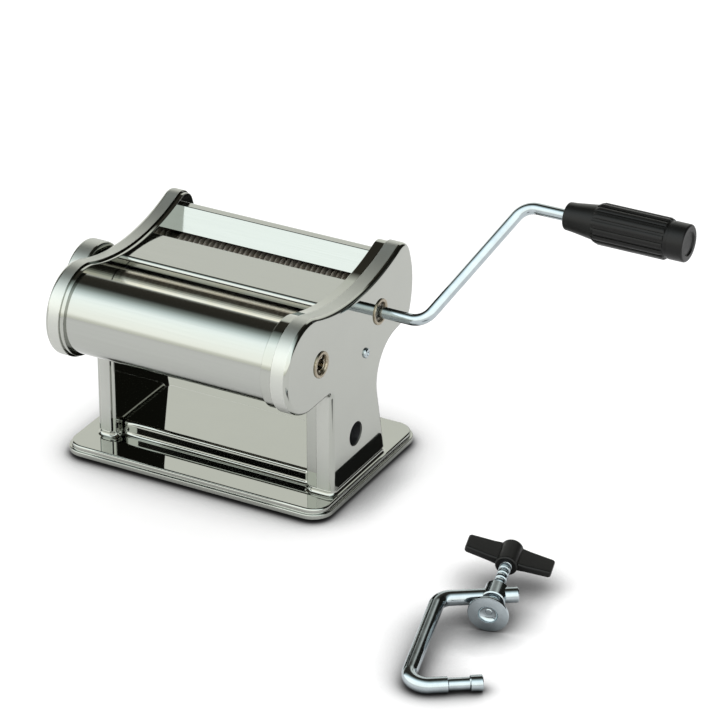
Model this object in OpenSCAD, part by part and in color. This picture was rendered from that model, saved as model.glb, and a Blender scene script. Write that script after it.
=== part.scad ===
// Hand-cranked pasta machine with a loose table clamp.
// Millimetres. X runs along the rollers with the crank side at +X, Y runs to the rear, Z is up.
// The origin is on the table, under the middle of the base plate.

/* [Base plate] */
// Width of the base plate along the rollers
base_w = 205; // [205:1:230]
// Depth of the base plate, front to rear
base_d = 140; // [130:1:160]
// Corner radius of the base plate in plan
base_corner = 15; // [10:0.5:20]
// Height of the flat top of the base plate
base_top = 10; // [9:0.5:12]
// Height of the lower edge of the base plate's rim
rim_bottom = 3; // [2:0.25:4]
// Thickness of the pressed steel sheet
sheet = 1.2; // [0.8:0.1:1.6]
// Height of the plinth under each side cheek
plinth_top = 14; // [13:0.5:17]
// Height of the raised floor between the cheeks
floor_top = 20; // [18:0.5:24]
// Radius of the rubber feet
foot_r = 6; // [4:0.5:8]

/* [Side cheeks] */
// Outer face of the right cheek, on the crank side
right_face = 97.5; // [94:0.5:97.5]
// Outer face of the left cheek, on the dial side, measured to the left
left_face = 87; // [84:0.5:92]
// Width of the band round the right cheek
right_band = 12.5; // [11:0.5:14]
// Width of the band round the left cheek
left_band = 11; // [10:0.5:12]
// Inner face of the right side frame
right_inner = 77; // [75:0.5:79]
// Inner face of the left side frame, measured to the left
left_inner = 73; // [71:0.5:74]
// Radius of the rounded edge of the cheeks
edge = 3.2; // [2.5:0.1:4]
// Thickness of the plate of the side frames
frame_plate = 2; // [1.6:0.1:2.4]

/* [Cheek outline] */
// Radius of the round nose
nose_r = 29.5; // [28:0.5:31]
// Height of the nose centre
nose_z = 121; // [119:0.5:123]
// Distance of the nose centre in front of the middle
nose_y = 74; // [72:0.5:76]
// Lowest height of the saddle between the two feed slots
saddle_z = 140.4; // [139:0.2:142]
// Distance of the saddle's lowest point in front of the middle
saddle_y = 12; // [8:0.5:16]
// Radius of the rear edge
rear_r = 60; // [57:0.5:63]
// Radius of the rear peak
peak_r = 9; // [7:0.5:11]
// Radius of the lower rear corner
heel_r = 6; // [4:0.5:8]
// Radius of the hollow behind the column
hollow_r = 32; // [29:0.5:34]
// Distance of the column's front edge in front of the middle
column_front = 43; // [41:0.5:45]
// Radius of the hollow under the nose
chin_r = 8; // [6:0.5:10]

/* [Covers] */
// Radius of the front drum cover
drum_r = 29.2; // [28:0.2:30]
// Thickness of the cover sheets
cover_sheet = 1; // [0.8:0.1:1.4]
// Front lip of the plate between the feed slots, in front of the middle
plate_front = 27; // [25:0.5:29]
// Rear edge of the plate between the feed slots, behind the middle
plate_rear = 15; // [13:0.5:16]
// Height of the plate between the feed slots
plate_top = 140.5; // [139.5:0.25:141.5]
// Front edge of the rear top strip, behind the middle
strip_front = 47; // [46:0.5:48]
// Height of the rear top strip
strip_top = 148; // [147:0.25:149]

/* [Smooth rollers] */
// Diameter of the smooth rollers
roller_d = 26.6; // [25:0.2:27.4]
// Gap between the smooth rollers at the thinnest setting
roller_gap = 0.4; // [0.35:0.05:0.8]
// Opening travel of the rear smooth roller
open_travel = 2.2; // [1.6:0.1:2.4]
// Angle at which the rear smooth roller sits above the front one
roller_tilt = 9; // [6:0.5:12]
// Radius of the plain roller journals
journal_r = 6; // [5.5:0.1:6.4]
// Number of teeth on each smooth roller gear
smooth_teeth = 13; // [12:1:15]

/* [Cutters] */
// Distance between the two cutter rollers
cutter_pitch = 21.3; // [20.8:0.1:22]
// Radius of the cutter discs
disc_r = 11.4; // [11.2:0.05:11.8]
// Radius of the cutter core
core_r = 8; // [7.4:0.1:8.2]
// Spacing of the discs along one cutter
disc_pitch = 4; // [3.6:0.2:5]
// Thickness of one cutter disc
disc_t = 1.6; // [1.2:0.05:1.7]
// Number of teeth on each cutter gear
cutter_teeth = 14; // [12:1:16]

/* [Drive sockets] */
// Outer radius of the drive journals behind the socket holes
socket_r = 6.45; // [6:0.05:6.6]
// Outer radius of the eyelet flange round each socket hole
eyelet_r = 9.25; // [8.8:0.05:10]
// Bore radius of the table clamp hole
clamp_hole_r = 8.7; // [7.5:0.1:9.5]

/* [Dial] */
// Radius of the thickness dial
dial_r = 27; // [23:0.5:29]
// Thickness of the thickness dial
dial_t = 14; // [11:0.5:16]
// Radius of the dial shaft
dial_shaft_r = 5; // [4:0.1:5.5]

/* [Crank] */
// Radius of the crank rod
rod_r = 4; // [3.5:0.1:4.2]
// Distance from the right cheek to the crank's lower bend
crank_reach = 32.5; // [30:0.5:40]
// Outward lean of the crank arm along X
crank_lean = 40; // [30:1:50]
// Crank radius
crank_r = 95.3; // [88:0.1:98]
// Angle of the crank arm above level
crank_angle = 43.6; // [30:0.1:60]
// Radius of the crank's bends
crank_bend = 14; // [12:0.5:18]
// Length of the grip
grip_len = 88; // [80:1:95]
// Radius of the ribbed part of the grip
grip_r = 14.2; // [13:0.1:14.6]
// Number of ribs round the grip
grip_ribs = 16; // [10:1:20]

/* [Table clamp] */
// Radius of the clamp bar
bar_r = 5.2; // [4.6:0.1:5.8]
// Length of the lower arm of the clamp
lower_arm = 49; // [44:0.5:55]
// Length of the upper arm of the clamp
upper_arm = 51; // [46:0.5:56]
// Length of the spine of the clamp
spine = 90; // [80:1:100]
// Angle between the spine and the arms
clamp_skew = 70; // [66:1:80]
// Radius of the clamp screw
screw_r = 4; // [3.5:0.1:4.2]
// Radius of the clamp pad
pad_r = 13.5; // [11:0.5:15]
// Span of the wing handle
wing_span = 58; // [50:1:66]
// Forward shift of the clamp on the table from the middle of the base plate
clamp_y = -222; // [-240:1:-220]
// Sideways place of the clamp on the table
clamp_x = 245; // [238:1:260]

/* [Hidden] */
$fn = 64;
cut = 1;                        // how far cutting shapes run past a face
run_gap = 0.05;                 // radial clearance of a turning fit
seat_gap = 0.02;                // radial clearance of a pressed fit
air_gap = 0.4;                  // clearance between parts that pass each other
join = 0.05;                    // step where one run of a bent rod or sheet meets the next
join_lap = 0.5;                 // overlap of such runs

// Places of the shafts, as [y, z]
front_axis = [-61.1, 117.1];
roller_pitch = roller_d + roller_gap;
tilt_dir = [cos(roller_tilt), sin(roller_tilt)];
rear_axis = front_axis + roller_pitch * tilt_dir;
cutter_axis = [19.7, 119.6];
idler_axis = cutter_axis + [cutter_pitch, 0];
dial_throw = open_travel / 2;
dial_axis = rear_axis + dial_throw * tilt_dir;
clamp_hole = [-14.2, 43.1];
tie_axis = [-0.2, 97.7];

// Frame stations along X
right_seam = right_face - right_band;
left_seam = left_face - left_band;
work_w = right_inner + left_inner;
roller_end_gap = 0.4;
roller_x0 = -left_inner + roller_end_gap;
roller_x1 = right_inner - roller_end_gap;

// Cheek outline: centres of its arcs, all tangent to their neighbours
nose_c = [-nose_y, nose_z];
saddle_drop = nose_z - saddle_z;
saddle_run = nose_y - saddle_y;
saddle_r = (saddle_run * saddle_run + saddle_drop * saddle_drop - nose_r * nose_r)
           / (2 * (nose_r + saddle_drop));
saddle_c = [-saddle_y, saddle_z + saddle_r];
rear_c = [64.7 - rear_r, 124];
peak_c = two_circles(rear_c, rear_r - peak_r, saddle_c, saddle_r + peak_r);
hollow_c = [46, 66];
heel_tilt = 8;
heel_dir = [cos(heel_tilt), sin(heel_tilt)];
heel_up = [-sin(heel_tilt), cos(heel_tilt)];
heel_start = hollow_c + hollow_r * heel_up;
heel_c = line_circle(heel_start + heel_r * heel_up, heel_dir, rear_c, rear_r - heel_r);
column_tilt = 12;
column_top = hollow_c - hollow_r * [cos(column_tilt), sin(column_tilt)];
column_heel = column_top + (column_top[1] - plinth_top) * [tan(column_tilt), -1];
chin_c = [-column_front - chin_r, nose_z - nose_r - chin_r];

// Directions of the touching points on the outline's arcs
saddle_to_nose = dir_of(saddle_c, nose_c);
saddle_to_peak = dir_of(saddle_c, peak_c);
rear_to_peak = dir_of(rear_c, peak_c);
rear_to_heel = dir_of(rear_c, heel_c);

// Plinth and floor of the base, as lowest and highest corners in plan
foot_front = -column_front - edge;
foot_rear = column_heel[0] + edge;
floor_front = -38;
floor_rear = column_heel[0];
plinth_corner = 5;
flare = 0.7 * (plinth_top - base_top);
plinth_round = 0.2 * (plinth_top - base_top);
floor_round = 3;
rim_lip = 3.4;
rim_step = 1.8;
rim_round = 0.8;
top_round = 1.6;
foot_step = 1;

// Pressed edge of the cheeks and rim of the side frames
edge_steps = 4;
corner_steps = 5;
nose_steps = 24;
long_steps = 12;
short_steps = 8;
tight_steps = 6;
rim_lap = 3;
rim_out = edge - sheet - run_gap;

// Bends of the cover sheets
drum_top_angle = 96;
drum_low_angle = 283;
lip_r = 3;
lip_depth = 6;
fold_r = 2;
fold_depth = 6;
hopper_slope = 49;
hopper_len = 18;

// Rods, screws, eyelets and bushes of the frame
tie_r = 4;
inner_ties = [[-88, 117], [54.5, 130]];
fastener_r = 2;
fastener_len = 9;
screw_head_r = 3.6;
screw_head_t = 2;
eyelet_wall = 1.6;
eyelet_len = 4;
eyelet_flange = 1;
bush_wall = 2.2;
bush_len = 5;

// Drive sockets and the crank's cross pin
socket_set = 0.5;
socket_depth = 18;
pin_slot_depth = 5;
pin_r = 1.5;
pin_x = right_face - socket_set - pin_slot_depth / 2;
tip_start = right_face - socket_set - socket_depth + air_gap;
tip_end = right_face + eyelet_flange + air_gap;
spigot_r = 2.5;
spigot_len = 10;

// Sliding bearings and the eccentric that moves them
block_front = 11;
block_rear = 20;
block_low = 18;
block_high = 10;
block_t = 10;
right_block_t = 4;
slide_gap = 0.15;
boss_r = 7;
boss_t = 4;
boss_slack = 0.55;
rear_journal = 4.2;
bar_t = 5;
bar_h = 12;

// Gears
pressure = 25;
tooth_thin = 0.3;
flank_steps = 4;
root_depth = 1.25;
gear_w = 6;
gear_x = right_inner + right_block_t + air_gap;
smooth_module = roller_pitch / smooth_teeth;
cutter_module = cutter_pitch / cutter_teeth;

// Cutting discs, scrapers and combs
first_disc = roller_x0 + 2;
blade_t = 0.8;
blade_bevel = 1.5;
blade_len = 12;
front_blade_angle = 235;
front_blade_lean = 60;
rear_blade_angle = roller_tilt - 62;
rear_blade_lean = 45;
comb_t = 1.2;
comb_back = 8;
comb_angle = 45;

// Dial
dial_gap = 1.3;
dial_wall = 4;
dial_round = 2;
dial_rim = 4;
dial_dish = 1;

// Grip
grip_x = right_face + crank_reach + crank_lean + 31;
grip_neck = 24.5;
neck_r = 9.5;
collar_r = 12.5;
groove_r = 1.1;
chamfer = 1;
cap_len = 11.6;
cap_r = 12.85;
cap_round = 1.5;
cap_dish_r = 8.5;
rod_end = grip_x + grip_len - cap_len - 5;
rod_head_r = rod_r + 1.5;
rod_head_t = 3;

// Clamp
clamp_yaw = 34;
bar_bend = 11;
bar_neck_r = 4.15;
neck_len = 14;
collar_len = 8;
eye_r = 8;
eye_len = 13;
screw_place = 36;
eye_back = 12;
screw_back = 49;
pad_place = 14;
pad_t = 6;
pad_dish = 3;
pad_flange = 2.2;
pad_hub_r = 7.5;
pad_socket = 1.6;
dish_r = 6.5;
dish_floor_r = 2.2;
pad_edge = 0.6;
clamp_corner = spine * [cos(clamp_skew), sin(clamp_skew)];
clamp_tilt = asin((pad_r - bar_r) / ((spine - pad_place - pad_t) * sin(clamp_skew)));
hub_r = 7.5;
hub_lead = 2;
wing_t = 6.5;
wing_w = 18;
wing_grip = 18;
wing_turn = 10;

// Plane geometry

function dir_of(from, to) = atan2(to[1] - from[1], to[0] - from[0]);

function on_circle(c, r, a) = c + r * [cos(a), sin(a)];

// Points of an arc in n steps; first is 1 where the arc carries on from the one before
function arc_points(c, r, a0, a1, n, first = 0) =
    [for (i = [first:n]) on_circle(c, r, a0 + (a1 - a0) * i / n)];

// Angle of an arc of the given length
function turn_of(length, r) = length / r * 180 / PI;

// Right-hand crossing of two circles, seen from the first centre to the second
function two_circles(c1, r1, c2, r2) =
    let (d = norm(c2 - c1), a = (d * d + r1 * r1 - r2 * r2) / (2 * d), h = sqrt(r1 * r1 - a * a))
    let (u = (c2 - c1) / d)
    c1 + a * u + h * [u[1], -u[0]];

// Far crossing of a line with a circle
function line_circle(p, u, c, r) =
    let (w = p - c, b = w * u, q = w * w - r * r)
    p + (-b + sqrt(b * b - q)) * u;

// Point of an involute at a given radius, with its angle from the involute's start
function involute_angle(base, r) =
    let (t = sqrt(max(0, (r * r) / (base * base) - 1)))
    t * 180 / PI - atan(t);

// Placing helpers: a flat shape in (Y, Z) pushed along X, or a section in (radius, X) turned about X

module along_x(x0, x1) {
    translate([x0, 0, 0])
        rotate([90, 0, 90])
            linear_extrude(x1 - x0)
                children();
}

module about_x(c, from = 0, sweep = 360) {
    translate([0, c[0], c[1]])
        rotate([90, 0, 90])
            rotate([0, 0, from])
                rotate_extrude(angle = sweep)
                    children();
}

module rod_x(c, x0, x1, r) {
    translate([x0, c[0], c[1]])
        rotate([0, 90, 0])
            cylinder(h = x1 - x0, r = r);
}

module tube_x(c, x0, x1, r_out, r_in) {
    difference() {
        rod_x(c, x0, x1, r_out);
        rod_x(c, x0 - cut, x1 + cut, r_in);
    }
}

// A section in (outward, Z) carried round a rectangle with rounded corners of radius r;
// the section's zero is the line of the corner centres
module round_rect(x0, x1, y0, y1, r) {
    corners = [[x1 - r, y1 - r, 0], [x0 + r, y1 - r, 90], [x0 + r, y0 + r, 180], [x1 - r, y0 + r, 270]];
    lengths = [x1 - x0 - 2 * r, y1 - y0 - 2 * r];
    for (i = [0:3]) {
        next = corners[(i + 1) % 4];
        translate([corners[i][0], corners[i][1], 0])
            rotate([0, 0, corners[i][2]])
                rotate_extrude(angle = 90)
                    children();
        translate([next[0], next[1], 0])
            rotate([0, 0, corners[i][2]])
                rotate([90, 0, 90])
                    linear_extrude(lengths[i % 2])
                        children();
    }
}

// Cheek outline

// Points of the outline grown outward by g, from the foot of the front edge over the top to the rear foot
function outline(g, foot = plinth_top) = concat(
    [[-column_front - g, foot]],
    arc_points(chin_c, chin_r - g, 0, 90, tight_steps),
    arc_points(nose_c, nose_r + g, 270, saddle_to_nose + 180, nose_steps),
    arc_points(saddle_c, saddle_r - g, saddle_to_nose, saddle_to_peak, long_steps, 1),
    arc_points(peak_c, peak_r + g, saddle_to_peak + 180, rear_to_peak, short_steps, 1),
    arc_points(rear_c, rear_r + g, rear_to_peak, rear_to_heel, short_steps, 1),
    arc_points(heel_c, heel_r + g, rear_to_heel, heel_tilt - 90, tight_steps, 1),
    arc_points(hollow_c, hollow_r - g, 90 + heel_tilt, 180 + column_tilt, long_steps),
    [[column_heel[0] + (plinth_top - foot) * tan(column_tilt) + g / cos(column_tilt), foot]]);

// Solid of the outline with its edge rounded in steps; side is 1 for the right and -1 for the left
module rounded_slab(x0, x1, r, foot, side) {
    for (i = [0:corner_steps]) {
        a = 90 * i / corner_steps;
        x = x1 - r + r * cos(a);
        along_x(side > 0 ? x0 : -x, side > 0 ? x : -x0)
            polygon(outline(r * sin(a), foot));
    }
}

// Pressed cheek: flat face with a rounded edge and a band behind it, open at the foot
module cheek_shell(face, depth, side) {
    seam = face - depth;
    difference() {
        rounded_slab(seam, face, edge, plinth_top, side);
        rounded_slab(seam - cut, face - sheet, edge - sheet, plinth_top - cut, side);
    }
}

// Side frame: a plate with a rim that slides into the cheek's band
module frame_shell(inner, seam, side) {
    back = inner + frame_plate;
    rim = seam + rim_lap;
    difference() {
        along_x(side > 0 ? inner : -rim, side > 0 ? rim : -inner)
            polygon(outline(rim_out));
        along_x(side > 0 ? back : -rim - cut, side > 0 ? rim + cut : -back)
            polygon(outline(rim_out - sheet, plinth_top - cut));
    }
}

// Base

module rim_section() {
    r = base_corner;
    polygon(concat(
        [[0, rim_bottom], [r, rim_bottom]],
        arc_points([r - rim_round, rim_bottom + rim_lip - rim_round], rim_round, 0, 90, edge_steps),
        [[r - rim_step, rim_bottom + rim_lip]],
        arc_points([r - rim_step - top_round, base_top - top_round], top_round, 0, 90, edge_steps),
        [[0, base_top]]));
}

// Wall of a raised pressing with a rounded top edge and a hollow flare at its foot, solid behind
module raised_section(r, top, top_r) {
    low = base_top - sheet;
    polygon(concat(
        [[0, low], [r + flare, low]],
        arc_points([r + flare, base_top + flare], flare, 270, 180, edge_steps),
        arc_points([r - top_r, top - top_r], top_r, 0, 90, edge_steps),
        [[0, top]]));
}

module raised_block(x0, x1, y0, y1, r, top, top_r) {
    low = base_top - sheet;
    round_rect(x0, x1, y0, y1, r)
        raised_section(r, top, top_r);
    translate([x0 + r, y0 + r, low])
        cube([x1 - x0 - 2 * r, y1 - y0 - 2 * r, top - low]);
}

module hollow_box(x0, x1, y0, y1, top) {
    translate([x0 + sheet, y0 + sheet, rim_bottom - cut])
        cube([x1 - x0 - 2 * sheet, y1 - y0 - 2 * sheet, top - sheet - rim_bottom + cut]);
}

module base_plate() {
    half_w = base_w / 2;
    half_d = base_d / 2;
    wall = rim_step + sheet;
    color("silver")
    difference() {
        union() {
            round_rect(-half_w, half_w, -half_d, half_d, base_corner)
                rim_section();
            translate([base_corner - half_w, base_corner - half_d, rim_bottom])
                cube([base_w - 2 * base_corner, base_d - 2 * base_corner, base_top - rim_bottom]);
            raised_block(-left_face, -left_inner, foot_front, foot_rear, plinth_corner, plinth_top,
                plinth_round);
            raised_block(right_inner, right_face, foot_front, foot_rear, plinth_corner, plinth_top,
                plinth_round);
            raised_block(-left_inner, right_inner, floor_front, floor_rear, plinth_corner, floor_top,
                floor_round);
        }
        hollow_box(-half_w + wall, half_w - wall, -half_d + wall, half_d - wall, base_top);
        hollow_box(-left_face + plinth_corner, -left_inner, foot_front + plinth_corner,
            foot_rear - plinth_corner, plinth_top);
        hollow_box(right_inner, right_face - plinth_corner, foot_front + plinth_corner,
            foot_rear - plinth_corner, plinth_top);
        hollow_box(-left_inner + plinth_corner, right_inner - plinth_corner, floor_front + plinth_corner,
            floor_rear - plinth_corner, floor_top);
    }
}

module rubber_feet() {
    inset = base_corner + foot_step;
    color("#1a1a1a")
    for (x = [-1, 1], y = [-1, 1])
        translate([x * (base_w / 2 - inset), y * (base_d / 2 - inset), 0]) {
            cylinder(h = base_top - sheet, r = foot_r - foot_step);
            cylinder(h = rim_bottom + foot_step, r = foot_r);
        }
}

// Cheeks and frames

module right_cheek() {
    x0 = right_face - sheet - cut;
    x1 = right_face + cut;
    color("silver")
    difference() {
        cheek_shell(right_face, right_band, 1);
        for (c = [front_axis, cutter_axis])
            rod_x(c, x0, x1, socket_r + eyelet_wall + seat_gap);
        rod_x(clamp_hole, x0, x1, clamp_hole_r);
        rod_x(tie_axis, x0, x1, fastener_r + seat_gap);
    }
}

module left_cheek() {
    x0 = -left_face - cut;
    x1 = -left_face + sheet + cut;
    color("silver")
    difference() {
        cheek_shell(left_face, left_band, -1);
        rod_x(dial_axis, x0, x1, dial_shaft_r + run_gap);
        rod_x(tie_axis, x0, x1, fastener_r + seat_gap);
    }
}

// Place on the tilted slide of the rear smooth roller: Y along the slide, Z across it
module on_slide() {
    translate([0, rear_axis[0], rear_axis[1]])
        rotate([roller_tilt, 0, 0])
            children();
}

// Holes that both side frames share
module frame_holes(x0, x1) {
    for (c = concat([tie_axis], inner_ties))
        rod_x(c, x0, x1, tie_r + seat_gap);
    on_slide()
        translate([x0, -block_front - slide_gap, -block_low - slide_gap])
            cube([x1 - x0, block_front + block_rear + open_travel + 2 * slide_gap,
                block_low + block_high + 2 * slide_gap]);
}

module right_frame() {
    x0 = right_inner - cut;
    x1 = right_inner + frame_plate + cut;
    color("gainsboro")
    difference() {
        frame_shell(right_inner, right_seam, 1);
        frame_holes(x0, x1);
        for (c = [front_axis, cutter_axis])
            rod_x(c, x0, x1, socket_r + bush_wall + seat_gap);
        rod_x(idler_axis, x0, x1, journal_r + bush_wall + seat_gap);
    }
}

module left_frame() {
    x0 = -left_inner - frame_plate - cut;
    x1 = -left_inner + cut;
    color("gainsboro")
    difference() {
        frame_shell(left_inner, left_seam, -1);
        frame_holes(x0, x1);
        for (c = [front_axis, cutter_axis, idler_axis])
            rod_x(c, x0, x1, journal_r + bush_wall + seat_gap);
    }
}

// Covers: bends and flats of sheet that run from frame to frame

module cover_bend(c, r, from, sweep, thin = 0) {
    about_x(c, from, sweep)
        translate([r - cover_sheet + thin, -left_inner])
            square([cover_sheet - 2 * thin, work_w]);
}

module cover_flat(y0, y1, z0, z1) {
    translate([-left_inner, y0, z0])
        cube([work_w, y1 - y0, z1 - z0]);
}

module front_drum_cover() {
    color("silver")
        cover_bend(nose_c, drum_r, drum_top_angle, drum_low_angle - drum_top_angle);
}

module middle_plate() {
    color("lightgray") {
        cover_flat(-plate_front + lip_r, plate_rear - fold_r, plate_top - cover_sheet, plate_top);
        cover_bend([-plate_front + lip_r, plate_top - lip_r], lip_r, 90, 90);
        cover_flat(-plate_front, -plate_front + cover_sheet, plate_top - lip_depth, plate_top - lip_r);
        cover_bend([plate_rear - fold_r, plate_top - fold_r], fold_r, 0, 90);
        cover_flat(plate_rear - cover_sheet, plate_rear, plate_top - fold_depth, plate_top - fold_r);
    }
}

module rear_cover() {
    back_r = strip_top - peak_c[1];
    slope = [-cos(hopper_slope), -sin(hopper_slope)];
    under = cover_sheet * [sin(hopper_slope), -cos(hopper_slope)];
    brow = [strip_front, strip_top];
    wall_r = rear_r - peak_r + back_r;
    color("silver") {
        along_x(-left_inner, right_inner)
            polygon([brow, brow + hopper_len * slope, brow + hopper_len * slope + under,
                [strip_front + cover_sheet * tan(hopper_slope / 2), strip_top - cover_sheet],
                [peak_c[0], strip_top - cover_sheet], [peak_c[0], strip_top]]);
        cover_bend(peak_c, back_r, rear_to_peak, 90 - rear_to_peak + turn_of(join_lap, back_r), join);
        cover_bend(rear_c, wall_r, rear_to_heel, rear_to_peak - rear_to_heel + turn_of(join_lap, wall_r),
            2 * join);
    }
}

// Fixed rods, screws and bearings

module tie_rods() {
    color("darkgray") {
        difference() {
            rod_x(tie_axis, -left_face + sheet, right_face - sheet, tie_r);
            rod_x(tie_axis, right_face - sheet - fastener_len, right_face, fastener_r + seat_gap);
            rod_x(tie_axis, -left_face, -left_face + sheet + fastener_len, fastener_r + seat_gap);
        }
        for (c = inner_ties)
            rod_x(c, -left_inner - frame_plate, right_inner + frame_plate, tie_r);
    }
}

module cheek_screws() {
    color("lightsteelblue") {
        rod_x(tie_axis, right_face - sheet - fastener_len + air_gap, right_face, fastener_r);
        rod_x(tie_axis, right_face, right_face + screw_head_t, screw_head_r);
        rod_x(tie_axis, -left_face, -left_face + sheet + fastener_len - air_gap, fastener_r);
        rod_x(tie_axis, -left_face - screw_head_t, -left_face, screw_head_r);
    }
}

module eyelet(c) {
    color("#c9b48a")
    difference() {
        union() {
            rod_x(c, right_face - eyelet_len, right_face, socket_r + eyelet_wall);
            rod_x(c, right_face, right_face + eyelet_flange, eyelet_r);
        }
        rod_x(c, right_face - eyelet_len - cut, right_face + eyelet_flange + cut, socket_r + run_gap);
    }
}

module front_eyelet() {
    eyelet(front_axis);
}

module rear_eyelet() {
    eyelet(cutter_axis);
}

module clamp_sleeve() {
    color("gray")
        tube_x(clamp_hole, right_inner + frame_plate, right_face - sheet, clamp_hole_r + sheet,
            clamp_hole_r);
}

module left_bushes() {
    color("#b08d57")
    for (c = [front_axis, cutter_axis, idler_axis])
        tube_x(c, -left_inner - bush_len, -left_inner, journal_r + bush_wall, journal_r + run_gap);
}

module right_bushes() {
    color("#b08d57") {
        for (c = [front_axis, cutter_axis])
            tube_x(c, right_inner, right_inner + right_block_t, socket_r + bush_wall, socket_r + run_gap);
        tube_x(idler_axis, right_inner, right_inner + right_block_t, journal_r + bush_wall,
            journal_r + run_gap);
    }
}

// Rollers and gears

// Hollow right-hand journal with a cross slot for the crank's pin
module drive_journal(c) {
    end = right_face - socket_set;
    difference() {
        rod_x(c, roller_x1 - cut, end, socket_r);
        rod_x(c, end - socket_depth, end + cut, rod_r + run_gap);
        translate([end - pin_slot_depth, c[0], c[1]])
            rotate([crank_angle, 0, 0])
                translate([0, -socket_r - cut, -pin_r - air_gap / 2])
                    cube([pin_slot_depth + cut, 2 * (socket_r + cut), 2 * pin_r + air_gap]);
    }
}

function tooth_half(z, m, r) =
    let (pitch_r = m * z / 2, base_r = pitch_r * cos(pressure))
    90 / z - tooth_thin * 180 / PI / (2 * pitch_r)
    + involute_angle(base_r, pitch_r) - involute_angle(base_r, r);

function gear_points(z, m, phase) =
    let (pitch_r = m * z / 2, base_r = pitch_r * cos(pressure))
    let (tip = pitch_r + m, root = pitch_r - root_depth * m, start = max(base_r, root))
    let (radii = [for (i = [0:flank_steps]) start + (tip - start) * i / flank_steps])
    [for (k = [0:z - 1])
        let (mid = phase + 360 * k / z)
        each concat(
            [on_circle([0, 0], root, mid - tooth_half(z, m, start))],
            [for (r = radii) on_circle([0, 0], r, mid - tooth_half(z, m, r))],
            [for (i = [flank_steps:-1:0]) on_circle([0, 0], radii[i], mid + tooth_half(z, m, radii[i]))],
            [on_circle([0, 0], root, mid + tooth_half(z, m, start))])];

// Gear of z teeth with a tooth centred in the direction phase
module spur_gear(c, z, m, phase, bore) {
    difference() {
        translate([0, c[0], c[1]])
            along_x(gear_x, gear_x + gear_w)
                polygon(gear_points(z, m, phase));
        rod_x(c, gear_x - cut, gear_x + gear_w + cut, bore);
    }
}

module front_roller() {
    color("lightgray") {
        rod_x(front_axis, roller_x0, roller_x1, roller_d / 2);
        rod_x(front_axis, -left_inner - bush_len, roller_x0 + cut, journal_r);
        drive_journal(front_axis);
    }
}

module front_roller_gear() {
    color("dimgray")
        spur_gear(front_axis, smooth_teeth, smooth_module, roller_tilt, socket_r + seat_gap);
}

module rear_roller() {
    color("lightgray")
        tube_x(rear_axis, roller_x0, roller_x1, roller_d / 2, journal_r + seat_gap);
}

module rear_roller_shaft() {
    color("gray")
        rod_x(rear_axis, -left_inner - rear_journal, gear_x + gear_w, journal_r);
}

module rear_roller_gear() {
    color("dimgray")
        spur_gear(rear_axis, smooth_teeth, smooth_module, roller_tilt + 180 + 180 / smooth_teeth,
            journal_r + seat_gap);
}

// Row of cutting discs on a core, as one turned shape
module disc_row(c, first) {
    count = floor((roller_x1 - first - disc_t) / disc_pitch);
    about_x(c)
        polygon(concat(
            [[0, roller_x0], [core_r, roller_x0]],
            [for (i = [0:count]) let (x = first + i * disc_pitch)
                each [[core_r, x], [disc_r, x], [disc_r, x + disc_t], [core_r, x + disc_t]]],
            [[core_r, roller_x1], [0, roller_x1]]));
}

module driven_cutter() {
    color("lightgray") {
        disc_row(cutter_axis, first_disc);
        rod_x(cutter_axis, -left_inner - bush_len, roller_x0 + cut, journal_r);
        drive_journal(cutter_axis);
    }
}

module driven_cutter_gear() {
    color("dimgray")
        spur_gear(cutter_axis, cutter_teeth, cutter_module, 0, socket_r + seat_gap);
}

module idle_cutter() {
    color("lightgray") {
        disc_row(idler_axis, first_disc + disc_pitch / 2);
        rod_x(idler_axis, -left_inner - bush_len, roller_x0 + cut, journal_r);
        rod_x(idler_axis, roller_x1 - cut, gear_x + gear_w, journal_r);
    }
}

module idle_cutter_gear() {
    color("dimgray")
        spur_gear(idler_axis, cutter_teeth, cutter_module, 180 + 180 / cutter_teeth, journal_r + seat_gap);
}

// Scrapers and combs

// Blade whose edge stands just off a roller, in the direction a from its axis
module scraper(c, a, lean) {
    tip = on_circle(c, roller_d / 2 + air_gap, a);
    along_x(-left_inner, right_inner)
        translate(tip)
            rotate(a + lean)
                polygon([[0, 0], [blade_bevel, -blade_t], [blade_len, -blade_t], [blade_len, 0]]);
}

module front_scraper() {
    color("silver")
        scraper(front_axis, front_blade_angle, front_blade_lean);
}

module rear_scraper() {
    color("silver")
        scraper(rear_axis, rear_blade_angle, rear_blade_lean);
}

// Comb whose fingers reach between the discs, in the direction a from the cutter's axis
module comb(c, a, first) {
    reach = disc_r - core_r;
    back = disc_r + air_gap;
    count = floor((roller_x1 - first - disc_t) / disc_pitch) - 1;
    finger = disc_pitch - disc_t - 2 * air_gap;
    translate([0, c[0], c[1]])
        rotate([a, 0, 0])
            translate([0, 0, -comb_t / 2])
                linear_extrude(comb_t)
                    polygon(concat(
                        [[-left_inner, back + comb_back], [-left_inner, back]],
                        [for (i = [0:count]) let (x = first + disc_t + air_gap + i * disc_pitch)
                            each [[x, back], [x, back - reach],
                                [x + finger, back - reach], [x + finger, back]]],
                        [[right_inner, back], [right_inner, back + comb_back]]));
}

module front_comb() {
    color("gray")
        comb(cutter_axis, 180 + comb_angle, first_disc);
}

module rear_comb() {
    color("gray")
        comb(idler_axis, -comb_angle, first_disc + disc_pitch / 2);
}

// Sliding bearings and the thickness dial

module block(x0, x1) {
    on_slide()
        translate([x0, -block_front, -block_low])
            cube([x1 - x0, block_front + block_rear, block_low + block_high]);
}

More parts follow.
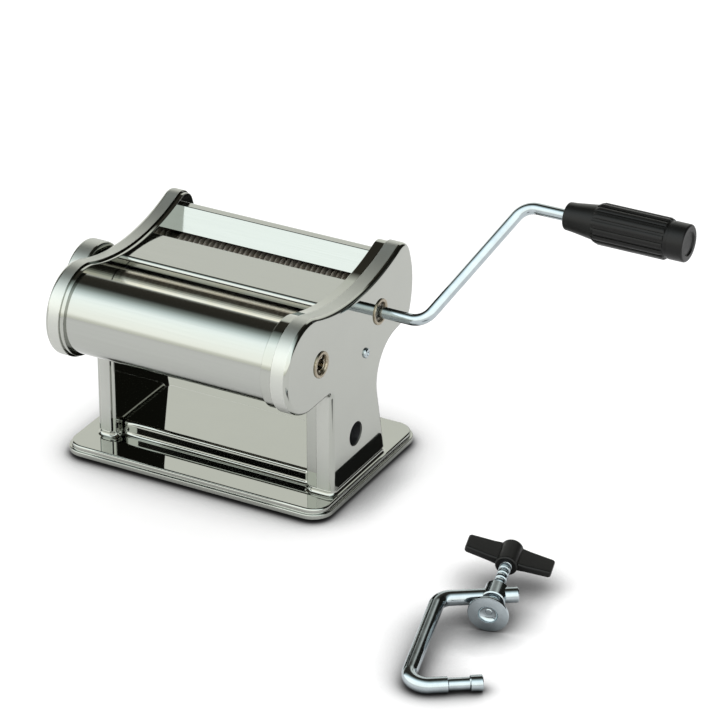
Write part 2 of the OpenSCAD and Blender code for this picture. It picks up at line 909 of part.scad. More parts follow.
module left_bearing_block() {
    x0 = -left_inner - block_t;
    color("#8a8d91")
    difference() {
        block(x0, -left_inner);
        rod_x(rear_axis, -left_inner - rear_journal - air_gap, -left_inner + cut, journal_r + run_gap);
        on_slide()
            translate([x0 - cut, -boss_r - boss_slack, -boss_r - dial_throw - air_gap])
                cube([boss_t + air_gap + cut, 2 * (boss_r + boss_slack),
                    2 * (boss_r + dial_throw + air_gap)]);
    }
}

module right_bearing_block() {
    color("#8a8d91")
    difference() {
        block(right_inner, right_inner + right_block_t);
        rod_x(rear_axis, right_inner - cut, right_inner + right_block_t + cut, journal_r + run_gap);
    }
}

module carriage_bar() {
    color("#8a8d91")
    on_slide()
        translate([-left_inner, block_rear - bar_t - chamfer, -bar_h / 2])
            cube([work_w, bar_t, bar_h]);
}

module dial_shaft() {
    x0 = -left_inner - block_t;
    color("gray") {
        rod_x(rear_axis, x0, x0 + boss_t, boss_r);
        rod_x(dial_axis, -left_face - dial_gap - dial_t + dial_wall, x0 + cut, dial_shaft_r);
    }
}

module thickness_dial() {
    x0 = -left_face - dial_gap;
    color("silver")
    difference() {
        about_x(dial_axis)
            polygon(concat(
                [[0, x0]],
                arc_points([dial_r - dial_round, x0 - dial_round], dial_round, 90, 0, edge_steps),
                arc_points([dial_r - dial_round, x0 - dial_t + dial_round], dial_round, 0, -90, edge_steps),
                [[dial_r - dial_rim, x0 - dial_t], [dial_r - dial_rim - dial_dish, x0 - dial_t + dial_dish],
                    [0, x0 - dial_t + dial_dish]]));
        rod_x(dial_axis, x0 - dial_t + dial_wall, x0 + cut, dial_shaft_r + seat_gap);
    }
}

// Crank

// Rod bent in its own plane: straight runs and round bends through the given points
module bent_rod(points, bend_r, r) {
    last = len(points) - 1;
    headings = [for (i = [0:last - 1]) dir_of(points[i], points[i + 1])];
    turns = [for (i = [1:last - 1]) headings[i] - headings[i - 1]];
    setbacks = concat([0], [for (t = turns) bend_r * tan(abs(t) / 2)], [0]);
    for (i = [0:last - 1]) {
        lap0 = i == 0 ? 0 : join_lap;
        lap1 = i == last - 1 ? 0 : join_lap;
        start = on_circle(points[i], setbacks[i] - lap0, headings[i]);
        run = norm(points[i + 1] - points[i]) - setbacks[i] - setbacks[i + 1];
        translate([start[0], start[1], 0])
            rotate([0, 0, headings[i]])
                rotate([0, 90, 0])
                    cylinder(h = run + lap0 + lap1, r = r);
    }
    for (i = [1:last - 1]) {
        side = turns[i - 1] > 0 ? 1 : -1;
        start = on_circle(points[i], -setbacks[i], headings[i - 1]);
        c = on_circle(start, bend_r, headings[i - 1] + side * 90);
        translate([c[0], c[1], 0])
            rotate([0, 0, (side > 0 ? headings[i - 1] : headings[i]) - side * 90])
                rotate_extrude(angle = abs(turns[i - 1]))
                    translate([bend_r, 0])
                        circle(r + join);
    }
}

// Place on the crank's plane: X along the shaft, Y along the arm
module on_crank() {
    translate([0, cutter_axis[0], cutter_axis[1]])
        rotate([crank_angle, 0, 0])
            children();
}

module crank_rod() {
    elbow = right_face + crank_reach;
    color("lightsteelblue")
    on_crank()
    difference() {
        union() {
            bent_rod([[tip_end, 0], [elbow, 0], [elbow + crank_lean, crank_r], [rod_end, crank_r]],
                crank_bend, rod_r);
            rod_x([crank_r, 0], rod_end - rod_head_t, rod_end, rod_head_r);
        }
        rod_x([0, 0], tip_end - cut, tip_end + spigot_len + air_gap, spigot_r + seat_gap);
    }
}

// Turned end of the crank that sits in the socket, with a spigot pressed into the rod
module crank_tip() {
    color("lightsteelblue")
    on_crank()
    difference() {
        union() {
            rod_x([0, 0], tip_start, tip_end, rod_r);
            rod_x([0, 0], tip_end - cut, tip_end + spigot_len, spigot_r);
        }
        translate([pin_x, 0, 0])
            rotate([90, 0, 0])
                cylinder(h = 4 * rod_r, r = pin_r + seat_gap, center = true);
    }
}

module crank_pin() {
    color("lightsteelblue")
    on_crank()
        translate([pin_x, 0, 0])
            rotate([90, 0, 0])
                cylinder(h = 2 * socket_r - 2 * air_gap, r = pin_r, center = true);
}

module crank_grip() {
    x0 = grip_x;
    neck_end = x0 + grip_neck;
    body_end = x0 + grip_len - cap_len;
    color("#151515")
    on_crank()
    difference() {
        translate([0, crank_r, 0])
            about_x([0, 0])
                polygon([[0, x0], [neck_r - chamfer, x0], [neck_r, x0 + chamfer],
                    [collar_r, neck_end - 2 * chamfer], [grip_r, neck_end],
                    [grip_r, body_end - 2 * chamfer], [cap_r, body_end], [0, body_end]]);
        for (i = [0:grip_ribs - 1])
            rod_x(on_circle([crank_r, 0], grip_r + groove_r / 2, 360 * i / grip_ribs),
                neck_end + chamfer, body_end - 3 * chamfer, groove_r);
        rod_x([crank_r, 0], x0 - cut, body_end + cut, rod_r + run_gap);
        rod_x([crank_r, 0], rod_end - rod_head_t - air_gap, body_end + cut, rod_head_r + air_gap);
    }
}

module grip_cap() {
    x0 = grip_x + grip_len - cap_len;
    x1 = grip_x + grip_len;
    color("#151515")
    on_crank()
        translate([0, crank_r, 0])
            about_x([0, 0])
                polygon(concat([[0, x0], [cap_r, x0]],
                    arc_points([cap_r - cap_round, x1 - cap_round], cap_round, 0, 90, edge_steps),
                    [[cap_dish_r, x1], [cap_dish_r - chamfer, x1 - chamfer], [0, x1 - chamfer]]));
}

// Table clamp

// Place on the clamp's plane: X along the arms, with the pad and the lower bend on the table
module on_clamp() {
    translate([clamp_x, clamp_y, bar_r])
        rotate([0, 0, clamp_yaw])
            rotate([clamp_tilt, 0, 0])
                children();
}

// Place on the clamp's screw: X away from the pad
module on_screw() {
    on_clamp()
        translate([clamp_corner[0] + screw_place, clamp_corner[1], 0])
            rotate([0, 0, clamp_skew])
                children();
}

module clamp_bar() {
    weld = clamp_corner + [screw_place - eye_back, 0];
    color("lightsteelblue")
    on_clamp() {
        bent_rod([[lower_arm - neck_len - collar_len, 0], [0, 0], clamp_corner, weld], bar_bend, bar_r);
        rod_x([0, 0], lower_arm - neck_len - collar_len - cut, lower_arm - cut, bar_neck_r);
        rod_x([0, 0], lower_arm - collar_len, lower_arm, bar_r);
    }
}

// Forged end of the upper arm with the threaded eye, welded to the bar
module clamp_eye() {
    weld_x = clamp_corner[0] + screw_place - eye_back;
    color("lightsteelblue")
    difference() {
        union() {
            on_clamp()
                rod_x([clamp_corner[1], 0], weld_x, clamp_corner[0] + upper_arm, bar_r);
            on_screw()
                rod_x([0, 0], -eye_len / 2, eye_len / 2, eye_r);
        }
        on_screw()
            rod_x([0, 0], -eye_len, eye_len, screw_r + run_gap);
    }
}

module clamp_screw() {
    color("lightsteelblue")
    on_screw()
        rod_x([0, 0], -pad_place - pad_socket, screw_back, screw_r);
}

module wing_handle() {
    x0 = screw_back - wing_grip;
    color("#202020")
    on_screw()
    rotate([wing_turn, 0, 0])
    difference() {
        union() {
            rod_x([0, 0], x0, x0 + hub_lead + wing_w, hub_r);
            translate([x0 + hub_lead, -wing_span / 2 + wing_t / 2, -wing_t / 2])
                cube([wing_w, wing_span - wing_t, wing_t]);
            for (y = [-1, 1])
                rod_x([y * (wing_span - wing_t) / 2, 0], x0 + hub_lead, x0 + hub_lead + wing_w, wing_t / 2);
        }
        rod_x([0, 0], x0 - cut, screw_back + air_gap / 2, screw_r + seat_gap);
    }
}

module clamp_pad() {
    back = -pad_place;
    color("lightsteelblue")
    on_screw()
    difference() {
        about_x([0, 0])
            polygon([[0, back - pad_dish], [dish_floor_r, back - pad_dish], [dish_r, back - pad_t],
                [pad_r - pad_edge, back - pad_t], [pad_r, back - pad_t + pad_edge],
                [pad_r, back - pad_t + pad_flange], [pad_hub_r, back - pad_t + pad_flange],
                [pad_hub_r, back], [0, back]]);
        rod_x([0, 0], back - pad_socket, back + cut, screw_r + run_gap);
    }
}

base_plate();
rubber_feet();
left_cheek();
right_cheek();
left_frame();
right_frame();
front_drum_cover();
middle_plate();
rear_cover();
tie_rods();
cheek_screws();
front_eyelet();
rear_eyelet();
clamp_sleeve();
left_bushes();
right_bushes();
front_roller();
front_roller_gear();
rear_roller();
rear_roller_shaft();
rear_roller_gear();
left_bearing_block();
right_bearing_block();
carriage_bar();
dial_shaft();
thickness_dial();
driven_cutter();
driven_cutter_gear();
idle_cutter();
idle_cutter_gear();
front_scraper();
rear_scraper();
front_comb();
rear_comb();
crank_rod();
crank_tip();
crank_pin();
crank_grip();
grip_cap();
clamp_bar();
clamp_eye();
clamp_screw();
wing_handle();
clamp_pad();
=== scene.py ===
"""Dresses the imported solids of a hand-cranked pasta machine: chromed pressings, satin covers, ground
rollers, a zinc-plated crank and table clamp, and black plastic handles, on a white studio floor."""

import math

import bmesh
import bpy
from bpy.props import FloatProperty, FloatVectorProperty, IntProperty, PointerProperty
from mathutils import Matrix, Vector
from mathutils.geometry import delaunay_2d_cdt


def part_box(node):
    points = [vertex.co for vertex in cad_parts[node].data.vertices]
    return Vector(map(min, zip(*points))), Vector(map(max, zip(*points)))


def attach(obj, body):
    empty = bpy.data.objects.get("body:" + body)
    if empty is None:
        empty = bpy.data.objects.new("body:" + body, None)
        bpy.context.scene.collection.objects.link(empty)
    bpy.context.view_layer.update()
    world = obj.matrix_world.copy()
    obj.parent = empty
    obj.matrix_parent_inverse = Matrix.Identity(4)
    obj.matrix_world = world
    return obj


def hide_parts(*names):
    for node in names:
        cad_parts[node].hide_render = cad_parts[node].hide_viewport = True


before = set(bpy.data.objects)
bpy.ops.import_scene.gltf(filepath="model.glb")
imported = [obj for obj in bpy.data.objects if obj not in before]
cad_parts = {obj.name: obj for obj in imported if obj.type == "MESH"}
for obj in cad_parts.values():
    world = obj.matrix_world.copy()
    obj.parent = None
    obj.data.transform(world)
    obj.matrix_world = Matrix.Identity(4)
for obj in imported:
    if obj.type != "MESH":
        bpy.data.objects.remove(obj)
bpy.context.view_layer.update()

bl_info = {
    "name": "Hand-cranked pasta machine",
    "version": (1, 0, 0),
    "blender": (4, 5, 0),
    "location": "3D View > Sidebar > Pasta machine",
    "description": "Builds the looks of a pasta machine with a crank and a table clamp",
    "category": "Object",
}

MM = 0.001


def linear(code):
    """An sRGB hex colour as linear red, green and blue."""
    channels = [int(code[i:i + 2], 16) / 255 for i in (1, 3, 5)]
    return tuple(c / 12.92 if c <= 0.04045 else ((c + 0.055) / 1.055) ** 2.4 for c in channels)


def rgba(colour, share=1.0):
    """A linear colour, dimmed to a share, as a socket takes it."""
    return (*[share * c for c in colour], 1)


def box_mm(node):
    """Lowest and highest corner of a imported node, in millimetres."""
    low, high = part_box(node)
    return low / MM, high / MM


def axis_of(node):
    """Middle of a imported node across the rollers, as (y, z) in millimetres."""
    low, high = box_mm(node)
    return ((low.y + high.y) / 2, (low.z + high.z) / 2)


RIGHT_SEAM, RIGHT_FACE = box_mm("right_cheek")[0].x, box_mm("right_cheek")[1].x
LEFT_SEAM, LEFT_FACE = -box_mm("left_cheek")[1].x, -box_mm("left_cheek")[0].x
RIGHT_INNER, LEFT_INNER = box_mm("right_frame")[0].x, -box_mm("left_frame")[1].x
FRONT_AXIS, CUTTER_AXIS = axis_of("front_eyelet"), axis_of("rear_eyelet")
DIAL_AXIS, CLAMP_HOLE = axis_of("thickness_dial"), axis_of("clamp_sleeve")
TIE_AXIS = axis_of("cheek_screws")
REAR_AXIS = axis_of("rear_roller")
IDLER_AXIS = axis_of("idle_cutter")
PLINTH_TOP = box_mm("right_cheek")[0].z

# Places of the turned and bent pieces, from their own millimetres to the frame's metres
FLAT = Matrix.Scale(MM, 4)
GRIP_AXIS = axis_of("grip_cap")
CRANK_ANGLE = math.atan2(GRIP_AXIS[1] - CUTTER_AXIS[1], GRIP_AXIS[0] - CUTTER_AXIS[0])
CRANK_RADIUS = math.dist(GRIP_AXIS, CUTTER_AXIS)
CRANK_REACH, CRANK_LEAN = 32.5, 40.0
ON_CRANK = FLAT @ Matrix.Translation((0, *CUTTER_AXIS)) @ Matrix.Rotation(CRANK_ANGLE, 4, "X")
ON_GRIP = ON_CRANK @ Matrix.Translation((0, CRANK_RADIUS, 0))

# The clamp, tilted so that its pad and its lower bend both lie on the table
BAR_R, SPINE, LOWER_ARM, UPPER_ARM = 5.2, 90.0, 49.0, 51.0
PAD_R, PAD_PLACE, PAD_THICK = 13.5, 14.0, 6.0
SCREW_PLACE, SCREW_END = 36.0, 49.0
CLAMP_X, CLAMP_Y = 245, -222
CLAMP_YAW, SKEW = math.radians(34), math.radians(70)
CLAMP_TILT = math.asin((PAD_R - BAR_R) / ((SPINE - PAD_PLACE - PAD_THICK) * math.sin(SKEW)))
ON_CLAMP = (FLAT @ Matrix.Translation((CLAMP_X, CLAMP_Y, BAR_R)) @ Matrix.Rotation(CLAMP_YAW, 4, "Z")
            @ Matrix.Rotation(CLAMP_TILT, 4, "X"))
UPPER_BEND = (SPINE * math.cos(SKEW), SPINE * math.sin(SKEW))
ON_SCREW = (ON_CLAMP @ Matrix.Translation((UPPER_BEND[0] + SCREW_PLACE, UPPER_BEND[1], 0))
            @ Matrix.Rotation(SKEW, 4, "Z"))


class PastaMachineSizes(bpy.types.PropertyGroup):
    """Sizes of the dressed pieces."""

    cheek_edge: FloatProperty(name="Cheek edge", description="Radius of the rounded edge of the side cheeks",
                              default=3.2 * MM, unit="LENGTH", precision=4)
    sheet: FloatProperty(name="Sheet", description="Thickness of the pressed steel of base and cheeks",
                         default=1.2 * MM, unit="LENGTH", precision=4)
    cover: FloatProperty(name="Cover sheet", description="Thickness of the steel of the covers",
                         default=1.0 * MM, unit="LENGTH", precision=4)
    grip_ribs: IntProperty(name="Grip ribs", description="Number of long ribs round the grip",
                           default=16, min=8, max=24)
    thread_pitch: FloatProperty(name="Thread pitch", description="Pitch of the clamp screw's thread",
                                default=1.25 * MM, unit="LENGTH", precision=4)
    number_height: FloatProperty(name="Number height", description="Height of the numbers on the dial",
                                 default=5.5 * MM, unit="LENGTH", precision=4)
    settings: IntProperty(name="Settings", description="Number of thickness settings on the dial",
                          default=7, min=3, max=9)
    brush_line: FloatProperty(name="Brush line", description="Spacing of the brushed lines on the covers",
                              default=0.5 * MM, unit="LENGTH", precision=5)


class PastaMachineColours(bpy.types.PropertyGroup):
    """Colours of the finishes."""

    chrome: FloatVectorProperty(name="Chrome", description="Bright chromium plate on pressed steel",
                                subtype="COLOR", min=0, max=1, default=linear("#a9aba5"))
    satin: FloatVectorProperty(name="Satin steel", description="Finely brushed stainless steel of the covers",
                               subtype="COLOR", min=0, max=1, default=linear("#abada8"))
    ground: FloatVectorProperty(name="Ground steel", description="Ground and polished rollers and blades",
                                subtype="COLOR", min=0, max=1, default=linear("#b5b3ad"))
    gear: FloatVectorProperty(name="Gear steel", description="Oiled machined steel of gears and shafts",
                              subtype="COLOR", min=0, max=1, default=linear("#8f9093"))
    zinc: FloatVectorProperty(name="Zinc plate", description="Bluish zinc plate of the crank and the clamp",
                              subtype="COLOR", min=0, max=1, default=linear("#b1babe"))
    bronze: FloatVectorProperty(name="Bronze", description="Sintered bronze of bushes and eyelets",
                                subtype="COLOR", min=0, max=1, default=linear("#aba393"))
    acetal: FloatVectorProperty(name="Acetal", description="Ivory acetal of the combs",
                                subtype="COLOR", min=0, max=1, default=linear("#cfc8b4"))
    plastic: FloatVectorProperty(name="Black plastic", description="Moulded black plastic of the handles",
                                 subtype="COLOR", min=0, max=1, default=linear("#141413"))
    rubber: FloatVectorProperty(name="Rubber", description="Black rubber of the feet",
                                subtype="COLOR", min=0, max=1, default=linear("#17171a"))
    marking: FloatVectorProperty(name="Marking", description="Filled numbers on the dial",
                                 subtype="COLOR", min=0, max=1, default=linear("#2a292b"))


# Materials

# Sockets of a Mix node that mixes colours
SHARE, FIRST, SECOND, MIXED = 0, 6, 7, 2


def add_node(tree, kind, inputs=None, **settings):
    """Adds a node. Settings go on the node, inputs on its sockets; a socket given as a value is linked."""
    node = tree.nodes.new(kind)
    for name, value in settings.items():
        setattr(node, name, value)
    for key, value in (inputs or {}).items():
        if isinstance(value, bpy.types.NodeSocket):
            tree.links.new(value, node.inputs[key])
        else:
            node.inputs[key].default_value = value
    return node


def emptied(owner):
    """The cleared node tree of a material or a world."""
    owner.use_nodes = True
    owner.node_tree.nodes.clear()
    return owner.node_tree


def new_material(name):
    """A material with its cleared tree and the object's own coordinates."""
    material = bpy.data.materials.new(name)
    tree = emptied(material)
    place = add_node(tree, "ShaderNodeTexCoord").outputs["Object"]
    return material, tree, place


def per_metre(size_mm):
    """Noise scale whose cells are about size_mm wide."""
    return 1 / (size_mm * MM)


def finished(material, inputs):
    """Ends a material in one shader with the given inputs."""
    tree = material.node_tree
    shader = add_node(tree, "ShaderNodeBsdfPrincipled", inputs)
    add_node(tree, "ShaderNodeOutputMaterial", {"Surface": shader.outputs["BSDF"]})
    return material


def chrome_plate(name, colours, band_haze, band_painted_light):
    """Chromium plate with faint wiping marks and slow sheet waves; hazier where it faces off X, and lightened
    there by painted light.
    """
    material, tree, place = new_material(name)
    smear = add_node(tree, "ShaderNodeTexNoise", {"Vector": place, "Scale": per_metre(38), "Detail": 3.0,
                                                  "Roughness": 0.6})
    haze = add_node(tree, "ShaderNodeMapRange", {"Value": smear.outputs["Fac"], "From Min": 0.35,
                                                 "From Max": 0.75, "To Min": 0.02, "To Max": 0.06})
    facing = add_node(tree, "ShaderNodeSeparateXYZ", {
        "Vector": add_node(tree, "ShaderNodeTexCoord").outputs["Normal"]})
    across = add_node(tree, "ShaderNodeMath", {0: facing.outputs["X"]}, operation="ABSOLUTE")
    band = add_node(tree, "ShaderNodeMapRange", {
        "Value": across.outputs[0], "From Min": 0.02, "From Max": 0.25, "To Min": 1.0,
        "To Max": 0.0}).outputs["Result"]
    rough = add_node(tree, "ShaderNodeMath", {0: band, 1: band_haze, 2: haze.outputs["Result"]},
                     operation="MULTIPLY_ADD")
    smeared = add_node(tree, "ShaderNodeMix", {
        SHARE: smear.outputs["Fac"], FIRST: rgba(colours.chrome), SECOND: rgba(colours.chrome, 0.93),
    }, data_type="RGBA")
    # Painted light: where the surface faces off X, its tone is lightened towards a pale grey to offset the
    # dark reflections there
    painted_light_share = add_node(tree, "ShaderNodeMath", {0: band, 1: band_painted_light}, operation="MULTIPLY")
    tone = add_node(tree, "ShaderNodeMix", {
        SHARE: painted_light_share.outputs[0], FIRST: smeared.outputs[MIXED], SECOND: rgba(linear("#d2d3cf")),
    }, data_type="RGBA")
    wave = add_node(tree, "ShaderNodeTexNoise", {"Vector": place, "Scale": per_metre(30), "Detail": 1.0})
    bump = add_node(tree, "ShaderNodeBump", {"Height": wave.outputs["Fac"], "Strength": 0.35,
                                             "Distance": 0.02 * MM})
    return finished(material, {
        "Base Color": tone.outputs[MIXED], "Metallic": 1.0, "Roughness": rough.outputs[0],
        "Normal": bump.outputs["Normal"]})


def polished_chrome(colours, sizes):
    """Chromium plate on pressed and buffed steel: a mirror all over."""
    return chrome_plate("polished_chrome_plate", colours, band_haze=0.0, band_painted_light=0.0)


def drawn_chrome(colours, sizes):
    """Chromium plate on the deep-drawn cheeks and the dial: a buffed face, and a band or rim left satin,
    lightened by painted light.
    """
    return chrome_plate("drawn_chrome_plate", colours, band_haze=0.4, band_painted_light=0.4)


def satin_steel(colours, sizes):
    """Stainless sheet brushed along the rollers: reflections stay readable, with fine streaks along X.

    The streaks are wider than real ones, so that they show.
    """
    material, tree, place = new_material("satin_stainless_steel")
    line = sizes.brush_line / MM
    stretch = add_node(tree, "ShaderNodeMapping", {"Vector": place, "Scale": (per_metre(90), per_metre(line),
                                                                             per_metre(line))})
    streak = add_node(tree, "ShaderNodeTexNoise", {"Vector": stretch.outputs["Vector"], "Scale": 1.0,
                                                   "Detail": 4.0, "Roughness": 0.65})
    gloss = add_node(tree, "ShaderNodeMapRange", {"Value": streak.outputs["Fac"], "From Min": 0.3,
                                                  "From Max": 0.7, "To Min": 0.07, "To Max": 0.16})
    tone = add_node(tree, "ShaderNodeMix", {
        SHARE: streak.outputs["Fac"], FIRST: rgba(colours.satin), SECOND: rgba(colours.satin, 0.88),
    }, data_type="RGBA")
    bump = add_node(tree, "ShaderNodeBump", {"Height": streak.outputs["Fac"], "Strength": 0.12,
                                             "Distance": 0.01 * MM})
    return finished(material, {
        "Base Color": tone.outputs[MIXED], "Metallic": 1.0, "Roughness": gloss.outputs["Result"],
        "Normal": bump.outputs["Normal"]})


def ground_steel(colours, sizes):
    """Cylindrically ground steel: fine rings round the roller, with a slight warm film of oil.

    The rings are coarser than real grinding marks, so that they show.
    """
    material, tree, place = new_material("ground_roller_steel")
    stretch = add_node(tree, "ShaderNodeMapping", {"Vector": place, "Scale": (per_metre(0.6), per_metre(25),
                                                                             per_metre(25))})
    ring = add_node(tree, "ShaderNodeTexNoise", {"Vector": stretch.outputs["Vector"], "Scale": 1.0,
                                                 "Detail": 3.0})
    film = add_node(tree, "ShaderNodeTexNoise", {"Vector": place, "Scale": per_metre(14), "Detail": 3.0})
    tone = add_node(tree, "ShaderNodeMix", {
        SHARE: film.outputs["Fac"], FIRST: rgba(colours.ground), SECOND: rgba(linear("#b5aa95")),
    }, data_type="RGBA")
    gloss = add_node(tree, "ShaderNodeMapRange", {"Value": ring.outputs["Fac"], "From Min": 0.3,
                                                  "From Max": 0.7, "To Min": 0.14, "To Max": 0.27})
    bump = add_node(tree, "ShaderNodeBump", {"Height": ring.outputs["Fac"], "Strength": 0.15,
                                             "Distance": 0.01 * MM})
    return finished(material, {
        "Base Color": tone.outputs[MIXED], "Metallic": 1.0, "Roughness": gloss.outputs["Result"],
        "Normal": bump.outputs["Normal"]})


def cutter_steel(colours, sizes):
    """Turned cutter discs with flour dust in the oil: warm, half dull, with darker patches."""
    material, tree, place = new_material("turned_cutter_steel")
    film = add_node(tree, "ShaderNodeTexNoise", {"Vector": place, "Scale": per_metre(5), "Detail": 4.0})
    tone = add_node(tree, "ShaderNodeMix", {
        SHARE: film.outputs["Fac"], FIRST: rgba(colours.ground), SECOND: rgba(linear("#9a8c76")),
    }, data_type="RGBA")
    return finished(material, {
        "Base Color": tone.outputs[MIXED], "Metallic": 0.55, "Roughness": 0.45})


def gear_steel(colours, sizes):
    """Machined steel left bare under oil: grey, half dull, with darker patches at random."""
    material, tree, place = new_material("oiled_machined_steel")
    patch = add_node(tree, "ShaderNodeTexNoise", {"Vector": place, "Scale": per_metre(6), "Detail": 5.0,
                                                  "Roughness": 0.7})
    tone = add_node(tree, "ShaderNodeMix", {
        SHARE: patch.outputs["Fac"], FIRST: rgba(colours.gear), SECOND: rgba(linear("#57565a")),
    }, data_type="RGBA")
    gloss = add_node(tree, "ShaderNodeMapRange", {
        "Value": patch.outputs["Fac"], "To Min": 0.3, "To Max": 0.5})
    return finished(material, {
        "Base Color": tone.outputs[MIXED], "Metallic": 1.0, "Roughness": gloss.outputs["Result"]})


def zinc_plate(colours, sizes):
    """Bright zinc plate with a blue passivation: bluish, a little cloudy, drawn lines under the plating."""
    material, tree, place = new_material("blue_passivated_zinc_plate")
    cloud = add_node(tree, "ShaderNodeTexNoise", {"Vector": place, "Scale": per_metre(9), "Detail": 4.0,
                                                  "Roughness": 0.6})
    tint = add_node(tree, "ShaderNodeValToRGB", {"Fac": cloud.outputs["Fac"]})
    stops = [(0.3, rgba(colours.zinc, 0.82)), (0.7, rgba(colours.zinc))]
    for element, (position, colour) in zip(tint.color_ramp.elements, stops):
        element.position, element.color = position, colour
    gloss = add_node(tree, "ShaderNodeMapRange", {"Value": cloud.outputs["Fac"], "From Min": 0.3,
                                                  "From Max": 0.7, "To Min": 0.08, "To Max": 0.16})
    grain = add_node(tree, "ShaderNodeTexNoise", {"Vector": place, "Scale": per_metre(1.2), "Detail": 2.0})
    bump = add_node(tree, "ShaderNodeBump", {"Height": grain.outputs["Fac"], "Strength": 0.12,
                                             "Distance": 0.03 * MM})
    return finished(material, {
        "Base Color": tint.outputs["Color"], "Metallic": 1.0, "Roughness": gloss.outputs["Result"],
        "Normal": bump.outputs["Normal"]})


def sintered_bronze(colours, sizes):
    """Pressed bronze powder: dull warm metal with pores, drawn coarser than real so that they show."""
    material, tree, place = new_material("sintered_bronze")
    pore = add_node(tree, "ShaderNodeTexVoronoi", {"Vector": place, "Scale": per_metre(0.8)})
    tone = add_node(tree, "ShaderNodeMix", {
        SHARE: pore.outputs["Distance"], FIRST: rgba(linear("#7d725f")), SECOND: rgba(colours.bronze),
    }, data_type="RGBA")
    bump = add_node(tree, "ShaderNodeBump", {"Height": pore.outputs["Distance"], "Strength": 0.2,
                                             "Distance": 0.05 * MM})
    return finished(material, {
        "Base Color": tone.outputs[MIXED], "Metallic": 1.0, "Roughness": 0.3,
        "Normal": bump.outputs["Normal"]})


def ivory_acetal(colours, sizes):
    """Moulded acetal: waxy, half matt, with a faint flow pattern."""
    material, tree, place = new_material("moulded_acetal")
    flow = add_node(tree, "ShaderNodeTexNoise", {"Vector": place, "Scale": per_metre(12), "Detail": 2.0})
    tone = add_node(tree, "ShaderNodeMix", {
        SHARE: flow.outputs["Fac"], FIRST: rgba(colours.acetal), SECOND: rgba(colours.acetal, 0.9),
    }, data_type="RGBA")
    return finished(material, {
        "Base Color": tone.outputs[MIXED], "Roughness": 0.42, "IOR": 1.48})


def black_plastic(colours, sizes):
    """Moulded black plastic with a spark-eroded grain: a soft sheen, with slightly duller, darker patches.

    The grain is coarser than real, so that it shows.
    """
    material, tree, place = new_material("moulded_black_plastic")
    grain = add_node(tree, "ShaderNodeTexNoise", {"Vector": place, "Scale": per_metre(0.7), "Detail": 3.0})
    wear = add_node(tree, "ShaderNodeTexNoise", {"Vector": place, "Scale": per_metre(16), "Detail": 4.0})
    tone = add_node(tree, "ShaderNodeMix", {
        SHARE: wear.outputs["Fac"], FIRST: rgba(colours.plastic), SECOND: rgba(colours.plastic, 0.72),
    }, data_type="RGBA")
    gloss = add_node(tree, "ShaderNodeMapRange", {"Value": wear.outputs["Fac"], "From Min": 0.3,
                                                  "From Max": 0.7, "To Min": 0.3, "To Max": 0.42})
    bump = add_node(tree, "ShaderNodeBump", {"Height": grain.outputs["Fac"], "Strength": 0.2,
                                             "Distance": 0.05 * MM})
    return finished(material, {
        "Base Color": tone.outputs[MIXED], "Roughness": gloss.outputs["Result"], "IOR": 1.53,
        "Specular IOR Level": 0.2, "Normal": bump.outputs["Normal"]})


def black_rubber(colours, sizes):
    """Moulded rubber: matt black with a fine bloom."""
    material, tree, place = new_material("moulded_black_rubber")
    bloom = add_node(tree, "ShaderNodeTexNoise", {"Vector": place, "Scale": per_metre(3), "Detail": 4.0})
    tone = add_node(tree, "ShaderNodeMix", {
        SHARE: bloom.outputs["Fac"], FIRST: rgba(colours.rubber), SECOND: rgba(linear("#2a2a2d")),
    }, data_type="RGBA")
    return finished(material, {
        "Base Color": tone.outputs[MIXED], "Roughness": 0.75, "IOR": 1.52})


def filled_marking(colours, sizes):
    """Enamel wiped into the engraved numbers: dark, slightly uneven, with a low sheen."""
    material, tree, place = new_material("engraving_enamel")
    fill = add_node(tree, "ShaderNodeTexNoise", {"Vector": place, "Scale": per_metre(1.5), "Detail": 3.0})
    tone = add_node(tree, "ShaderNodeMix", {
        SHARE: fill.outputs["Fac"], FIRST: rgba(colours.marking), SECOND: rgba(colours.marking, 1.6),
    }, data_type="RGBA")
    return finished(material, {
        "Base Color": tone.outputs[MIXED], "Roughness": 0.45, "IOR": 1.5})


FINISHES = {
    "mirror_chrome": polished_chrome, "drawn_chrome": drawn_chrome, "satin_chrome": satin_steel,
    "roller_steel": ground_steel, "cutter_steel": cutter_steel, "gear_steel": gear_steel,
    "zinc_steel": zinc_plate, "bearing_bronze": sintered_bronze, "comb_plastic": ivory_acetal,
    "black_plastic": black_plastic, "black_rubber": black_rubber, "marking": filled_marking,
}
made_finishes = {}


def finish_of(context, finish):
    """The material of a finish, made once."""
    if finish not in made_finishes:
        scene = context.scene
        made_finishes[finish] = FINISHES[finish](scene.pasta_colours, scene.pasta_sizes)
    return made_finishes[finish]


# Shapes, as lists of points and faces in millimetres


class Shape:
    """Points and faces of one piece, gathered part by part and placed in the frame in metres."""

    def __init__(self, place=FLAT):
        self.place = place
        self.points = []
        self.faces = []

    def add(self, points, faces, place=None):
        """Adds points and faces, in the piece's own place or another one."""
        first = len(self.points)
        matrix = place or self.place
        self.points += [matrix @ Vector(p) for p in points]
        self.faces += [[first + i for i in face] for face in faces]


def arc(centre, radius, start, end, step=2.0):
    """Points of an arc, its angles in degrees."""
    count = max(2, math.ceil(abs(end - start) / step))
    angles = [math.radians(start + (end - start) * i / count) for i in range(count + 1)]
    return [(centre[0] + radius * math.cos(a), centre[1] + radius * math.sin(a)) for a in angles]


def circle(centre, radius, count=64):
    """Points of a full circle."""
    return [(centre[0] + radius * math.cos(2 * math.pi * i / count),
             centre[1] + radius * math.sin(2 * math.pi * i / count)) for i in range(count)]


def direction(start, end):
    """Heading from one point to another, in degrees."""
    return math.degrees(math.atan2(end[1] - start[1], end[0] - start[0]))


